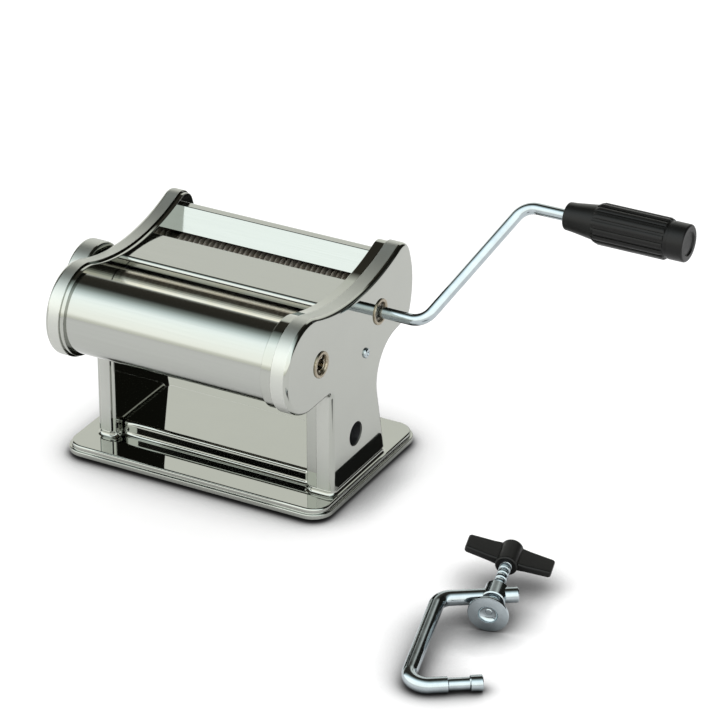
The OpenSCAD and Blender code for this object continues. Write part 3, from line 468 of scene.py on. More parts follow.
def loft(rings, first_cap=False, last_cap=False):
    """Faces between closed rings of the same number of points."""
    count = len(rings[0])
    points = [p for ring in rings for p in ring]
    faces = []
    for low in range(0, len(points) - count, count):
        high = low + count
        faces += [(low + i, low + (i + 1) % count, high + (i + 1) % count, high + i) for i in range(count)]
    if first_cap:
        faces.append(tuple(range(count)))
    if last_cap:
        faces.append(tuple(range(len(points) - count, len(points))))
    return points, faces


def inside(point, loop):
    """True if a point in the plane lies inside a loop."""
    x, y = point
    within = False
    for (x0, y0), (x1, y1) in zip(loop, loop[1:] + loop[:1]):
        if (y0 > y) != (y1 > y) and x < (x1 - x0) * (y - y0) / (y1 - y0) + x0:
            within = not within
    return within


def pierced_plate(outline, holes, x):
    """Flat face across X with holes, in triangles."""
    flat, edges = [], []
    for loop in [outline, *holes]:
        first = len(flat)
        flat += [Vector(p) for p in loop]
        edges += [(first + i, first + (i + 1) % len(loop)) for i in range(len(loop))]
    inside_only, closeness = 1, 1e-5
    corners, _, triangles, *_ = delaunay_2d_cdt(flat, edges, [], inside_only, closeness)
    faces = []
    for face in triangles:
        middle = sum((corners[i] for i in face), Vector((0, 0))) / len(face)
        if inside(middle, outline) and not any(inside(middle, hole) for hole in holes):
            faces.append(face)
    return [(x, p.x, p.y) for p in corners], faces


def rings_about_x(profile, steps, centre=(0, 0)):
    """Rings of (radius, x) points turned about an axis along X, tiny where they lie on it."""
    tiny = 1e-4
    return [[(x, *p) for p in circle(centre, max(radius, tiny), steps)] for radius, x in profile]


def revolve(profile, steps=96):
    """Surface of (radius, x) points turned about X; points on the axis close it."""
    return loft(rings_about_x(profile, steps), first_cap=True, last_cap=True)


def turned_tube(profile, steps, centre=(0, 0)):
    """Surface of a closed loop of (radius, x) points turned about an axis along X."""
    rings = rings_about_x(profile, steps, centre)
    return loft(rings + rings[:1])


# Degrees between the points of a bend
BEND_STEP = 4.0


def bent_path(points, bend):
    """Points of a path with round bends in its plane, each with its heading."""
    headings = [direction(a, b) for a, b in zip(points, points[1:])]
    path = [(points[0], headings[0])]
    for i, corner in enumerate(points[1:-1]):
        before, after = headings[i], headings[i + 1]
        turn = after - before
        side = 1 if turn > 0 else -1
        back = bend * math.tan(math.radians(abs(turn)) / 2)
        along = math.radians(before)
        start = (corner[0] - back * math.cos(along), corner[1] - back * math.sin(along))
        centre = (start[0] - side * bend * math.sin(along), start[1] + side * bend * math.cos(along))
        count = math.ceil(abs(turn) / BEND_STEP)
        for k in range(count + 1):
            heading = before + turn * k / count
            x = centre[0] + side * bend * math.sin(math.radians(heading))
            y = centre[1] - side * bend * math.cos(math.radians(heading))
            path.append(((x, y), heading))
    path.append((points[-1], headings[-1]))
    return path


def rod(path, radii, steps=32):
    """Round rod along a path of (point, heading), with a radius for each point."""
    rings = []
    for (point, heading), radius in zip(path, radii):
        across = (-math.sin(math.radians(heading)), math.cos(math.radians(heading)))
        rings.append([(point[0] + u * across[0], point[1] + u * across[1], v)
                      for u, v in circle((0, 0), radius, steps)])
    return loft(rings, first_cap=True, last_cap=True)


def rounded_ring(low, high, corner, out, z):
    """Ring at the distance out from the corner centres of a rectangle in plan."""
    (x0, y0), (x1, y1) = low, high
    centres = [(x1 - corner, y1 - corner), (x0 + corner, y1 - corner), (x0 + corner, y0 + corner),
               (x1 - corner, y0 + corner)]
    return [(*p, z) for i, c in enumerate(centres) for p in arc(c, out, 90 * i, 90 * i + 90, 9)]


# Least cosine of half a turn, which keeps the inner side near the outer one at a sharp turn
SHARPEST = 0.3


def sheet_section(outer, thickness):
    """Closed section of a sheet whose outer side runs through the given (y, z) points, left side inwards."""
    inner = []
    for i, p in enumerate(outer):
        a = Vector(outer[max(i - 1, 0)])
        b = Vector(outer[min(i + 1, len(outer) - 1)])
        before = (Vector(p) - a).normalized() if i else (b - Vector(p)).normalized()
        after = (b - Vector(p)).normalized() if i < len(outer) - 1 else before
        bisector = (before + after).normalized()
        reach = thickness / max(SHARPEST, bisector.dot(before))
        inner.append((p[0] - bisector.y * reach, p[1] + bisector.x * reach))
    return outer + inner[::-1]


# Making pieces

# Distances within which points are one, in metres, and the angle past which an edge is sharp
SHAPE_MERGE, NODE_MERGE, SLIVER = 1e-6, 2e-6, 1e-7
SHARP_ANGLE = math.radians(32)


def shaded(mesh):
    """Smooth shading with sharp edges past an angle, and normals that keep flat faces flat."""
    mesh.polygons.foreach_set("use_smooth", [True] * len(mesh.polygons))
    mesh.set_sharp_from_angle(angle=SHARP_ANGLE)
    holder = bpy.data.objects.new("shading", mesh)
    bpy.context.scene.collection.objects.link(holder)
    weighted = holder.modifiers.new("Weighted normals", "WEIGHTED_NORMAL")
    weighted.keep_sharp = True
    depsgraph = bpy.context.evaluated_depsgraph_get()
    done = bpy.data.meshes.new_from_object(holder.evaluated_get(depsgraph), preserve_all_data_layers=True,
                                           depsgraph=depsgraph)
    bpy.data.objects.remove(holder)
    bpy.data.meshes.remove(mesh)
    return done


def mesh_of(shape):
    """Closed mesh of a shape, its doubles merged and its faces pointing outwards."""
    mesh = bpy.data.meshes.new("shape")
    mesh.from_pydata([tuple(p) for p in shape.points], [], shape.faces)
    work = bmesh.new()
    work.from_mesh(mesh)
    bmesh.ops.remove_doubles(work, verts=work.verts, dist=SHAPE_MERGE)
    bmesh.ops.dissolve_degenerate(work, edges=work.edges, dist=SLIVER)
    bmesh.ops.recalc_face_normals(work, faces=work.faces)
    work.to_mesh(mesh)
    work.free()
    return mesh


def make_piece(context, name, mesh, body, slot, stands_for=(), finish=None):
    """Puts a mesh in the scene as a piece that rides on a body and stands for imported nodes."""
    mesh = shaded(mesh)
    if not mesh.polygons:
        raise RuntimeError(f"{name} has no faces")
    mesh.name = name
    mesh.materials.clear()
    mesh.materials.append(finish_of(context, finish or slot))
    piece = bpy.data.objects.new(name, mesh)
    context.scene.collection.objects.link(piece)
    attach(piece, body)
    if stands_for:
        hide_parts(*stands_for)


def dressed_copy(context, node, body, slot, suffix, finish=None):
    """Makes a merged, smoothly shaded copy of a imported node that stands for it."""
    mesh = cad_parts[node].data.copy()
    work = bmesh.new()
    work.from_mesh(mesh)
    bmesh.ops.remove_doubles(work, verts=work.verts, dist=NODE_MERGE)
    work.to_mesh(mesh)
    work.free()
    make_piece(context, f"{node}_{suffix}", mesh, body, slot, [node], finish)


# Geometry node trees


def new_tree(name, sockets):
    """A geometry tree with a geometry input, named inputs and a geometry output."""
    tree = bpy.data.node_groups.new(name, "GeometryNodeTree")
    tree.interface.new_socket("Geometry", in_out="INPUT", socket_type="NodeSocketGeometry")
    for label, kind, value in sockets:
        item = tree.interface.new_socket(label, in_out="INPUT", socket_type=kind)
        item.default_value = value
    tree.interface.new_socket("Geometry", in_out="OUTPUT", socket_type="NodeSocketGeometry")
    return tree, add_node(tree, "NodeGroupInput").outputs


def end_tree(tree, geometry, material):
    """Ends a tree in plain geometry with one material."""
    real = add_node(tree, "GeometryNodeRealizeInstances", {"Geometry": geometry})
    painted = add_node(tree, "GeometryNodeSetMaterial", {"Geometry": real.outputs["Geometry"],
                                                         "Material": material})
    add_node(tree, "NodeGroupOutput", {"Geometry": painted.outputs["Geometry"]})
    return tree


def ring_tree(material):
    """Copies of the input mesh turned about X, evenly spaced."""
    tree, given = new_tree("Ring of copies", [("Count", "NodeSocketInt", 16)])
    points = add_node(tree, "GeometryNodeMeshLine", {"Count": given["Count"], "Offset": (0, 0, 0)})
    share = add_node(tree, "ShaderNodeMath", {0: 2 * math.pi, 1: given["Count"]}, operation="DIVIDE")
    index = add_node(tree, "GeometryNodeInputIndex")
    angle = add_node(tree, "ShaderNodeMath", {0: index.outputs[0], 1: share.outputs[0]}, operation="MULTIPLY")
    turn = add_node(tree, "ShaderNodeCombineXYZ", {"X": angle.outputs[0]})
    copies = add_node(tree, "GeometryNodeInstanceOnPoints", {
        "Points": points.outputs["Mesh"], "Instance": given["Geometry"], "Rotation": turn.outputs["Vector"]})
    return end_tree(tree, copies.outputs["Instances"], material)


def thread_tree(material):
    """A pointed ridge wound round Z."""
    tree, given = new_tree("Screw thread", [
        ("Radius", "NodeSocketFloat", 4.0), ("Pitch", "NodeSocketFloat", 1.25),
        ("Length", "NodeSocketFloat", 20.0), ("Ridge", "NodeSocketFloat", 0.5)])
    turns = add_node(tree, "ShaderNodeMath", {0: given["Length"], 1: given["Pitch"]}, operation="DIVIDE")
    helix = add_node(tree, "GeometryNodeCurveSpiral", {
        "Resolution": 24, "Rotations": turns.outputs[0], "Start Radius": given["Radius"],
        "End Radius": given["Radius"], "Height": given["Length"]})
    ridge = add_node(tree, "GeometryNodeCurvePrimitiveCircle", {"Resolution": 4, "Radius": given["Ridge"]})
    wound = add_node(tree, "GeometryNodeCurveToMesh", {
        "Curve": helix.outputs["Curve"], "Profile Curve": ridge.outputs["Curve"], "Fill Caps": True})
    return end_tree(tree, wound.outputs["Mesh"], material)


def pair_tree(material):
    """The input mesh at +X and, turned half round Z, at -X of its own place."""
    tree, given = new_tree("Facing pair", [("Right", "NodeSocketVector", (0, 0, 0)),
                                           ("Left", "NodeSocketVector", (0, 0, 0))])
    right = add_node(tree, "GeometryNodeTransform", {
        "Geometry": given["Geometry"], "Translation": given["Right"]})
    left = add_node(tree, "GeometryNodeTransform", {
        "Geometry": given["Geometry"], "Translation": given["Left"], "Rotation": (0, 0, math.pi)})
    both = add_node(tree, "GeometryNodeJoinGeometry")
    for half in (right, left):
        tree.links.new(half.outputs["Geometry"], both.inputs["Geometry"])
    return end_tree(tree, both.outputs["Geometry"], material)


def realised(tree, mesh, **values):
    """Plain mesh of a tree run on a mesh, its inputs set by their identifiers."""
    holder = bpy.data.objects.new("tree holder", mesh)
    bpy.context.scene.collection.objects.link(holder)
    modifier = holder.modifiers.new("Nodes", "NODES")
    modifier.node_group = tree
    for item in tree.interface.items_tree:
        if item.in_out == "INPUT" and item.name in values:
            modifier[item.identifier] = values[item.name]
    depsgraph = bpy.context.evaluated_depsgraph_get()
    done = bpy.data.meshes.new_from_object(holder.evaluated_get(depsgraph), depsgraph=depsgraph)
    bpy.data.objects.remove(holder)
    if not done.polygons:
        raise RuntimeError(f"{tree.name} gave no faces")
    return done


def joined(meshes):
    """One mesh of several, each closed by itself."""
    work = bmesh.new()
    for mesh in meshes:
        work.from_mesh(mesh)
    whole = bpy.data.meshes.new("joined")
    work.to_mesh(whole)
    work.free()
    return whole


# Outline of the side cheeks: arcs that touch each other, with centres as (y, z)

NOSE, NOSE_R = (-74.0, 121.0), 29.5
SADDLE_LOW = (-12.0, 140.4)
REAR, REAR_R, PEAK_R = (4.7, 124.0), 60.0, 9.0
HEEL_R, HEEL_TILT = 6.0, 8.0
HOLLOW, HOLLOW_R, COLUMN_TILT = (46.0, 66.0), 32.0, 12.0
CHIN_R, COLUMN_FRONT = 8.0, 43.0


def saddle_circle():
    """Centre and radius of the arc through the saddle's lowest point that touches the nose."""
    run, drop = SADDLE_LOW[0] - NOSE[0], NOSE[1] - SADDLE_LOW[1]
    radius = (run ** 2 + drop ** 2 - NOSE_R ** 2) / (2 * (NOSE_R + drop))
    return (SADDLE_LOW[0], SADDLE_LOW[1] + radius), radius


def rear_crossing(first, first_r, second, second_r):
    """The crossing of a circle with one above it that lies to the rear."""
    apart = math.dist(first, second)
    along = (apart ** 2 + first_r ** 2 - second_r ** 2) / (2 * apart)
    heading = math.radians(direction(first, second)) - math.acos(along / first_r)
    return (first[0] + first_r * math.cos(heading), first[1] + first_r * math.sin(heading))


def heel_centre():
    """Centre of the heel's arc, between the sloping underside and the round back."""
    tilt = math.radians(HEEL_TILT)
    up = HOLLOW_R + HEEL_R
    start = (HOLLOW[0] - up * math.sin(tilt), HOLLOW[1] + up * math.cos(tilt))
    off = (start[0] - REAR[0], start[1] - REAR[1])
    along = off[0] * math.cos(tilt) + off[1] * math.sin(tilt)
    run = math.sqrt(along ** 2 + (REAR_R - HEEL_R) ** 2 - off[0] ** 2 - off[1] ** 2) - along
    return (start[0] + run * math.cos(tilt), start[1] + run * math.sin(tilt))


def column_heel():
    """Rear of the column where it stands on the plinth."""
    tilt = math.radians(COLUMN_TILT)
    top = (HOLLOW[0] - HOLLOW_R * math.cos(tilt), HOLLOW[1] - HOLLOW_R * math.sin(tilt))
    return top[0] + (top[1] - PLINTH_TOP) * math.tan(tilt)


SADDLE, SADDLE_R = saddle_circle()
PEAK = rear_crossing(REAR, REAR_R - PEAK_R, SADDLE, SADDLE_R + PEAK_R)
HEEL, COLUMN_HEEL = heel_centre(), column_heel()
CHIN = (-COLUMN_FRONT - CHIN_R, NOSE[1] - NOSE_R - CHIN_R)


def cheek_outline(grow):
    """The outline grown outward, as (y, z) points from the front foot over the top to the rear foot."""
    nose_end = direction(SADDLE, NOSE)
    saddle_end = direction(SADDLE, PEAK)
    peak_end, rear_end = direction(REAR, PEAK), direction(REAR, HEEL)
    return ([(-COLUMN_FRONT - grow, PLINTH_TOP)]
            + arc(CHIN, CHIN_R - grow, 0, 90, 6)
            + arc(NOSE, NOSE_R + grow, 270, nose_end + 180)
            + arc(SADDLE, SADDLE_R - grow, nose_end, saddle_end, 1)[1:]
            + arc(PEAK, PEAK_R + grow, saddle_end + 180, peak_end, 5)[1:]
            + arc(REAR, REAR_R + grow, peak_end, rear_end)[1:]
            + arc(HEEL, HEEL_R + grow, rear_end, HEEL_TILT - 90, 5)[1:]
            + arc(HOLLOW, HOLLOW_R - grow, 90 + HEEL_TILT, 180 + COLUMN_TILT, 3)
            + [(COLUMN_HEEL + grow / math.cos(math.radians(COLUMN_TILT)), PLINTH_TOP)])


def pressed_shell(stations, holes, side, wall):
    """Shell whose outer side runs through (grow, x) stations from its pierced face to its open edge."""
    shape = Shape()
    rings = [[(side * x, *p) for p in cheek_outline(grow)] for grow, x in stations]
    face_grow, face_x = stations[0]
    edge_grow, edge_x = stations[-1]
    back_x = face_x - math.copysign(wall, face_x - edge_x)
    inner = [(edge_grow - wall, edge_x), (edge_grow - wall, back_x)]
    rings += [[(side * x, *p) for p in cheek_outline(grow)] for grow, x in inner]
    shape.add(*loft(rings))
    shape.add(*pierced_plate(cheek_outline(face_grow), holes, side * face_x))
    shape.add(*pierced_plate(cheek_outline(edge_grow - wall), holes, side * back_x))
    for hole in holes:
        shape.add(*loft([[(side * face_x, *p) for p in hole], [(side * back_x, *p) for p in hole]]))
    return shape


# Operators


class Builder:
    """Shared settings of the operators."""

    bl_options = {"REGISTER", "UNDO"}


class PASTA_OT_base(Builder, bpy.types.Operator):
    """Builds the pressed base plate with its stepped rim, plinths and raised floor, and its feet"""

    bl_idname = "pasta.base"
    bl_label = "Base plate and feet"

    def execute(self, context):
        sizes = context.scene.pasta_sizes
        edge, wall = sizes.cheek_edge / MM, sizes.sheet / MM
        corner, top = 15.0, 10.0
        low, high = box_mm("base_plate")
        shape = Shape()
        shape.add(*loft([rounded_ring((low.x, low.y), (high.x, high.y), corner, out, z)
                         for out, z in self.rim(corner, top, wall)], first_cap=True, last_cap=True))
        front, rear = -COLUMN_FRONT - edge, COLUMN_HEEL + edge
        floor_front, floor_top = -38.0, 20.0
        plinth_edge, floor_edge = 0.8, 3.0
        blocks = [((-LEFT_FACE, front), (-LEFT_INNER, rear), PLINTH_TOP, plinth_edge),
                  ((RIGHT_INNER, front), (RIGHT_FACE, rear), PLINTH_TOP, plinth_edge),
                  ((-LEFT_INNER, floor_front), (RIGHT_INNER, COLUMN_HEEL), floor_top, floor_edge)]
        flare, round_r, sunk = 2.8, 5.0, 1.0
        for start, end, height, rounding in blocks:
            section = ([(round_r + flare, top - sunk)]
                       + arc((round_r + flare, top + flare), flare, 270, 180, 9)
                       + arc((round_r - rounding, height - rounding), rounding, 0, 90, 7))
            shape.add(*loft([rounded_ring(start, end, round_r, out, z) for out, z in section],
                            first_cap=True, last_cap=True))
        make_piece(context, "base_plate_pressing", mesh_of(shape), "frame", "mirror_chrome", ["base_plate"])
        dressed_copy(context, "rubber_feet", "frame", "black_rubber", "moulded")
        return {"FINISHED"}

    def rim(self, corner, top, wall):
        """Section of the two-step rim, as distances from a corner's centre and heights, from inside."""
        cavity, foot, step_top, set_in = 10.8, 3.0, 6.4, 1.8
        hem, step_edge, fillet, top_edge = 0.3, 0.8, 0.5, 1.6
        return ([(cavity, top - wall), (cavity, foot), (corner - hem, foot)]
                + arc((corner - hem, foot + hem), hem, 270, 360, 30)
                + arc((corner - step_edge, step_top - step_edge), step_edge, 0, 90, 9)
                + arc((corner - set_in + fillet, step_top + fillet), fillet, 270, 180, 15)
                + arc((corner - set_in - top_edge, top - top_edge), top_edge, 0, 90, 7))


class PASTA_OT_cheeks(Builder, bpy.types.Operator):
    """Builds the two chromed side cheeks and the side frames behind them"""

    bl_idname = "pasta.cheeks"
    bl_label = "Side cheeks and frames"

    def execute(self, context):
        sizes = context.scene.pasta_sizes
        edge, wall = sizes.cheek_edge / MM, sizes.sheet / MM
        self.cheeks(context, edge, wall)
        self.frames(context, edge, wall)
        return {"FINISHED"}

    def cheeks(self, context, edge, wall):
        """Cheeks with a rounded edge, pierced for the drives, the clamp, the dial and a screw each."""
        eyelet_hole, clamp_hole, dial_hole, screw_hole = 8.07, 8.7, 5.05, 2.02
        hem = 0.3
        screw = circle(TIE_AXIS, screw_hole, 24)
        rows = [("right_cheek", 1, RIGHT_FACE, RIGHT_SEAM,
                 [circle(FRONT_AXIS, eyelet_hole), circle(CUTTER_AXIS, eyelet_hole),
                  circle(CLAMP_HOLE, clamp_hole), screw]),
                ("left_cheek", -1, LEFT_FACE, LEFT_SEAM, [circle(DIAL_AXIS, dial_hole), screw])]
        for node, side, face, seam, holes in rows:
            stations = [(grow, face - set_in) for grow, set_in in arc((0, edge), edge, -90, 0, 9)]
            stations += [(edge, seam + hem), (edge - hem, seam)]
            shell = pressed_shell(stations, holes, side, wall)
            make_piece(context, f"{node}_pressing", mesh_of(shell), "frame", "mirror_chrome", [node],
                       finish="drawn_chrome")

    def frames(self, context, edge, wall):
        """Frames with a curled rim that tucks in under the cheeks, pierced for rods, bushes and the slide."""
        fit, lip, tuck = 0.05, 0.5, 3.0
        tie_hole, drive_hole, bush_hole = 4.02, 8.67, 8.22
        front_tie, rear_tie = (-88, 117), (54.5, 130)
        slide_front, slide_rear, slide_low, slide_high = -11.15, 22.35, -18.15, 10.15
        tilt = math.radians(9)
        slide = [(REAR_AXIS[0] + u * math.cos(tilt) - v * math.sin(tilt),
                  REAR_AXIS[1] + u * math.sin(tilt) + v * math.cos(tilt))
                 for u, v in [(slide_front, slide_low), (slide_rear, slide_low), (slide_rear, slide_high),
                              (slide_front, slide_high)]]
        ties = [circle(c, tie_hole, 32) for c in (TIE_AXIS, front_tie, rear_tie)]
        rim = edge - wall - fit
        rows = [("right_frame", 1, RIGHT_INNER, RIGHT_SEAM, (drive_hole, drive_hole, bush_hole)),
                ("left_frame", -1, LEFT_INNER, LEFT_SEAM, (bush_hole, bush_hole, bush_hole))]
        for node, side, inner, seam, bores in rows:
            stations = [(grow, inner + set_in) for grow, set_in in arc((rim - lip, lip), lip, -90, 0, 15)]
            stations += [(rim, seam + tuck)]
            seats = zip((FRONT_AXIS, CUTTER_AXIS, IDLER_AXIS), bores)
            holes = ties + [slide] + [circle(centre, radius) for centre, radius in seats]
            shell = pressed_shell(stations, holes, side, wall)
            make_piece(context, f"{node}_pressing", mesh_of(shell), "frame", "mirror_chrome", [node])


class PASTA_OT_covers(Builder, bpy.types.Operator):
    """Builds the satin drum cover, the plate between the feed slots and the rear cover"""

    bl_idname = "pasta.covers"
    bl_label = "Covers"

    def execute(self, context):
        thick = context.scene.pasta_sizes.cover / MM
        rows = (("front_drum_cover", self.drum()), ("middle_plate", self.plate()),
                ("rear_cover", self.rear()))
        for node, outer in rows:
            section = sheet_section(outer, thick)
            half = len(outer)
            ends = [[(x, *p) for p in section] for x in (-LEFT_INNER, RIGHT_INNER)]
            shape = Shape()
            shape.add(*loft(ends))
            for ring in ends:
                shape.add(ring, [(i, i + 1, 2 * half - 2 - i, 2 * half - 1 - i) for i in range(half - 1)])
            make_piece(context, f"{node}_sheet", mesh_of(shape), "frame", "satin_chrome", [node])
        return {"FINISHED"}

    def drum(self):
        """Round front, from its upper to its lower edge."""
        inset, upper_edge, lower_edge = 0.3, 96, 283
        return arc(NOSE, NOSE_R - inset, upper_edge, lower_edge, 1.5)

    def plate(self):
        """Flat plate with a folded rear edge and a rolled front lip."""
        rear, front, top, foot = 15.0, -27.0, 140.5, 134.5
        fold, lip = 2.0, 3.0
        return ([(rear, foot)] + arc((rear - fold, top - fold), fold, 0, 90, 9)
                + arc((front + lip, top - lip), lip, 90, 180, 7) + [(front, foot)])

    def rear(self):
        """Round back, top strip, rolled brow and slanted hopper wall."""
        strip_top, brow, slope, chute = 148.0, 47.0, 49, 18.0
        roll, roll_behind, roll_below = 1.25, 0.6, 1.3
        back_r = strip_top - PEAK[1]
        turn, end = direction(REAR, PEAK), direction(REAR, HEEL)
        lean = math.radians(slope)
        return (arc(REAR, REAR_R - PEAK_R + back_r, end, turn, 2) + arc(PEAK, back_r, turn, 90, 5)[1:]
                + arc((brow + roll_behind, strip_top - roll_below), roll, 90, 90 + slope, 8)
                + [(brow - chute * math.cos(lean), strip_top - chute * math.sin(lean))])


class PASTA_OT_fixings(Builder, bpy.types.Operator):
    """Builds the cross-head screws, the eyelets, the bushes, the tie rods and the clamp sleeve"""

    bl_idname = "pasta.fixings"
    bl_label = "Screws, eyelets and rods"

    def execute(self, context):
        self.eyelets(context)
        for node, slot in (("left_bushes", "bearing_bronze"), ("right_bushes", "bearing_bronze"),
                           ("tie_rods", "gear_steel"), ("clamp_sleeve", "gear_steel")):
            dressed_copy(context, node, "frame", slot, "turned")
        self.screws(context)
        return {"FINISHED"}

    def eyelets(self, context):
        """Eyelets with a rolled lip in the two drive holes."""
        bore, shank, flange, mouth = 6.5, 8.05, 9.2, 6.9
        depth, lip, sunk = 4.0, 0.95, 0.4
        outer_roll, inner_roll = 0.5, 0.7
        back, top = RIGHT_FACE - depth, RIGHT_FACE + lip
        profile = ([(bore, back), (shank, back), (shank, RIGHT_FACE), (flange, RIGHT_FACE)]
                   + arc((flange - outer_roll, top - outer_roll), outer_roll, 0, 90, 15)
                   + arc((mouth + inner_roll, top - inner_roll), inner_roll, 90, 180, 15)
                   + [(bore, RIGHT_FACE - sunk)])
        for node, centre in (("front_eyelet", FRONT_AXIS), ("rear_eyelet", CUTTER_AXIS)):
            shape = Shape()
            shape.add(*turned_tube(profile, 72, centre))
            make_piece(context, f"{node}_rolled", mesh_of(shape), "frame", "bearing_bronze", [node])

    def screws(self, context):
        """Pan heads with a cross recess, one facing each way."""
        head_r, skirt, crown, shank_r, shank = 3.6, 0.6, 1.4, 2.0, 9.8
        dome = [(head_r * math.sin(math.radians(a)), skirt + crown * math.cos(math.radians(a)))
                for a in range(10, 91, 10)]
        head = Shape(Matrix.Identity(4))
        head.add(*revolve([(0.0, skirt + crown), *dome, (head_r, 0.0), (shank_r, 0.0), (shank_r, -shank),
                           (0.0, -shank)], 40))
        holder = bpy.data.objects.new("screw", mesh_of(head))
        context.scene.collection.objects.link(holder)
        half_slot, half_arm, recess_floor, recess_mouth = 0.5, 2.1, 0.7, 2.6
        slot_taper, arm_taper = 0.6, 0.45
        ring = [(-half_slot, -half_arm), (half_slot, -half_arm), (half_slot, half_arm),
                (-half_slot, half_arm)]
        cutters = []
        for turn in (45, 135):
            blade = Shape(Matrix.Rotation(math.radians(turn), 4, "X"))
            blade.add(*loft([[(recess_floor, y * slot_taper, z * arm_taper) for y, z in ring],
                             [(recess_mouth, y, z) for y, z in ring]], first_cap=True, last_cap=True))
            cutter = bpy.data.objects.new("recess", mesh_of(blade))
            context.scene.collection.objects.link(cutter)
            cut = holder.modifiers.new("Recess", "BOOLEAN")
            cut.object, cut.operation, cut.solver = cutter, "DIFFERENCE", "EXACT"
            cutters.append(cutter)
        depsgraph = context.evaluated_depsgraph_get()
        head_mesh = bpy.data.meshes.new_from_object(holder.evaluated_get(depsgraph), depsgraph=depsgraph)
        for spare in (holder, *cutters):
            bpy.data.objects.remove(spare)
        both = realised(pair_tree(finish_of(context, "zinc_steel")), head_mesh,
                        Right=(RIGHT_FACE, *TIE_AXIS), Left=(-LEFT_FACE, *TIE_AXIS))
        both.transform(FLAT)
        make_piece(context, "cheek_screws_cross_head", both, "frame", "zinc_steel", ["cheek_screws"])


class PASTA_OT_running_gear(Builder, bpy.types.Operator):
    """Dresses the rollers, cutters, gears, scrapers, combs and the sliding bearings"""

    bl_idname = "pasta.running_gear"
    bl_label = "Rollers, cutters and gears"

    def execute(self, context):
        rows = [("front_roller", "smooth_front", "roller_steel", "ground"),
                ("front_roller_gear", "smooth_front", "gear_steel", "cut"),
                ("rear_roller", "smooth_rear", "roller_steel", "ground"),
                ("rear_roller_shaft", "smooth_rear", "roller_steel", "turned"),
                ("rear_roller_gear", "smooth_rear", "gear_steel", "cut"),
                ("left_bearing_block", "carriage", "gear_steel", "milled"),
                ("right_bearing_block", "carriage", "gear_steel", "milled"),
                ("carriage_bar", "carriage", "gear_steel", "milled"),
                ("rear_scraper", "carriage", "roller_steel", "ground"),
                ("front_scraper", "frame", "roller_steel", "ground"),
                ("driven_cutter", "cutter_driven", "roller_steel", "ground"),
                ("driven_cutter_gear", "cutter_driven", "gear_steel", "cut"),
                ("idle_cutter", "cutter_idle", "roller_steel", "ground"),
                ("idle_cutter_gear", "cutter_idle", "gear_steel", "cut"),
                ("front_comb", "frame", "comb_plastic", "moulded"),
                ("rear_comb", "frame", "comb_plastic", "moulded")]
        for node, body, slot, suffix in rows:
            finish = "cutter_steel" if node in ("driven_cutter", "idle_cutter") else None
            dressed_copy(context, node, body, slot, suffix, finish)
        return {"FINISHED"}


class PASTA_OT_dial(Builder, bpy.types.Operator):
    """Builds the thickness dial with its rounded rim and engraved numbers, and its shaft"""

    bl_idname = "pasta.dial"
    bl_label = "Thickness dial"

    def execute(self, context):
        low, high = box_mm("thickness_dial")
        radius = (high.z - low.z) / 2
        back, front = high.x, low.x
        bore, edge, rim, rim_slope = 5.02, 2.0, 4.0, 0.8
        hub, hub_top, dish, hub_dish = 6, 5, 1, 0.7
        shape = Shape(FLAT @ Matrix.Translation((0, *DIAL_AXIS)))
        shape.add(*revolve([(0, back), (bore, back), (radius - edge, back)]
                           + arc((radius - edge, back - edge), edge, 80, 0, 10)
                           + arc((radius - edge, front + edge), edge, 0, -90, 10)
                           + [(radius - rim, front), (radius - rim - rim_slope, front + rim_slope),
                              (hub, front + dish), (hub_top, front + hub_dish), (0, front + hub_dish)]))
        make_piece(context, "thickness_dial_turned", mesh_of(shape), "dial", "mirror_chrome",
                   ["thickness_dial"], finish="drawn_chrome")
        self.numbers(context, shape.place, radius, (back + front) / 2)
        dressed_copy(context, "dial_shaft", "dial", "gear_steel", "turned")
        return {"FINISHED"}

    def numbers(self, context, place, radius, middle):
        """Plain numbers round the rim, laid on its curve."""
        sizes = context.scene.pasta_sizes
        first, spread = 106, 180
        depth, below = 0.35, 0.02
        shape = Shape(place)
        for number in range(sizes.settings):
            flat = self.flat_number(context, str(number + 1), sizes.number_height / MM)
            around = math.radians(first - number * spread / (sizes.settings - 1))
            points = []
            for level in (radius - depth, radius - below):
                for v in flat.vertices:
                    angle = around - v.co.x / radius
                    points.append((middle + v.co.y, level * math.cos(angle), level * math.sin(angle)))
            shape.add(points, self.slab_faces(flat))
            bpy.data.meshes.remove(flat)
        make_piece(context, "dial_numbers", mesh_of(shape), "dial", "mirror_chrome", finish="marking")

    def flat_number(self, context, text, height):
        """Flat mesh of a number of the given height, centred."""
        size_per_height = 1.35
        curve = bpy.data.curves.new("number", "FONT")
        curve.body = text
        curve.size = size_per_height * height
        curve.align_x, curve.align_y = "CENTER", "CENTER"
        curve.resolution_u = 3
        holder = bpy.data.objects.new("number", curve)
        context.scene.collection.objects.link(holder)
        depsgraph = context.evaluated_depsgraph_get()
        flat = bpy.data.meshes.new_from_object(holder.evaluated_get(depsgraph))
        bpy.data.objects.remove(holder)
        return flat

    def slab_faces(self, flat):
        """Faces of a slab between two copies of a flat mesh's points."""
        count = len(flat.vertices)
        faces = [list(p.vertices) for p in flat.polygons]
        edges = {}
        for face in faces:
            for a, b in zip(face, face[1:] + face[:1]):
                edges.setdefault(frozenset((a, b)), []).append((a, b))
        walls = [(a, b, b + count, a + count) for pair in edges.values() if len(pair) == 1 for a, b in pair]
        return [f[::-1] for f in faces] + [[i + count for i in f] for f in faces] + walls


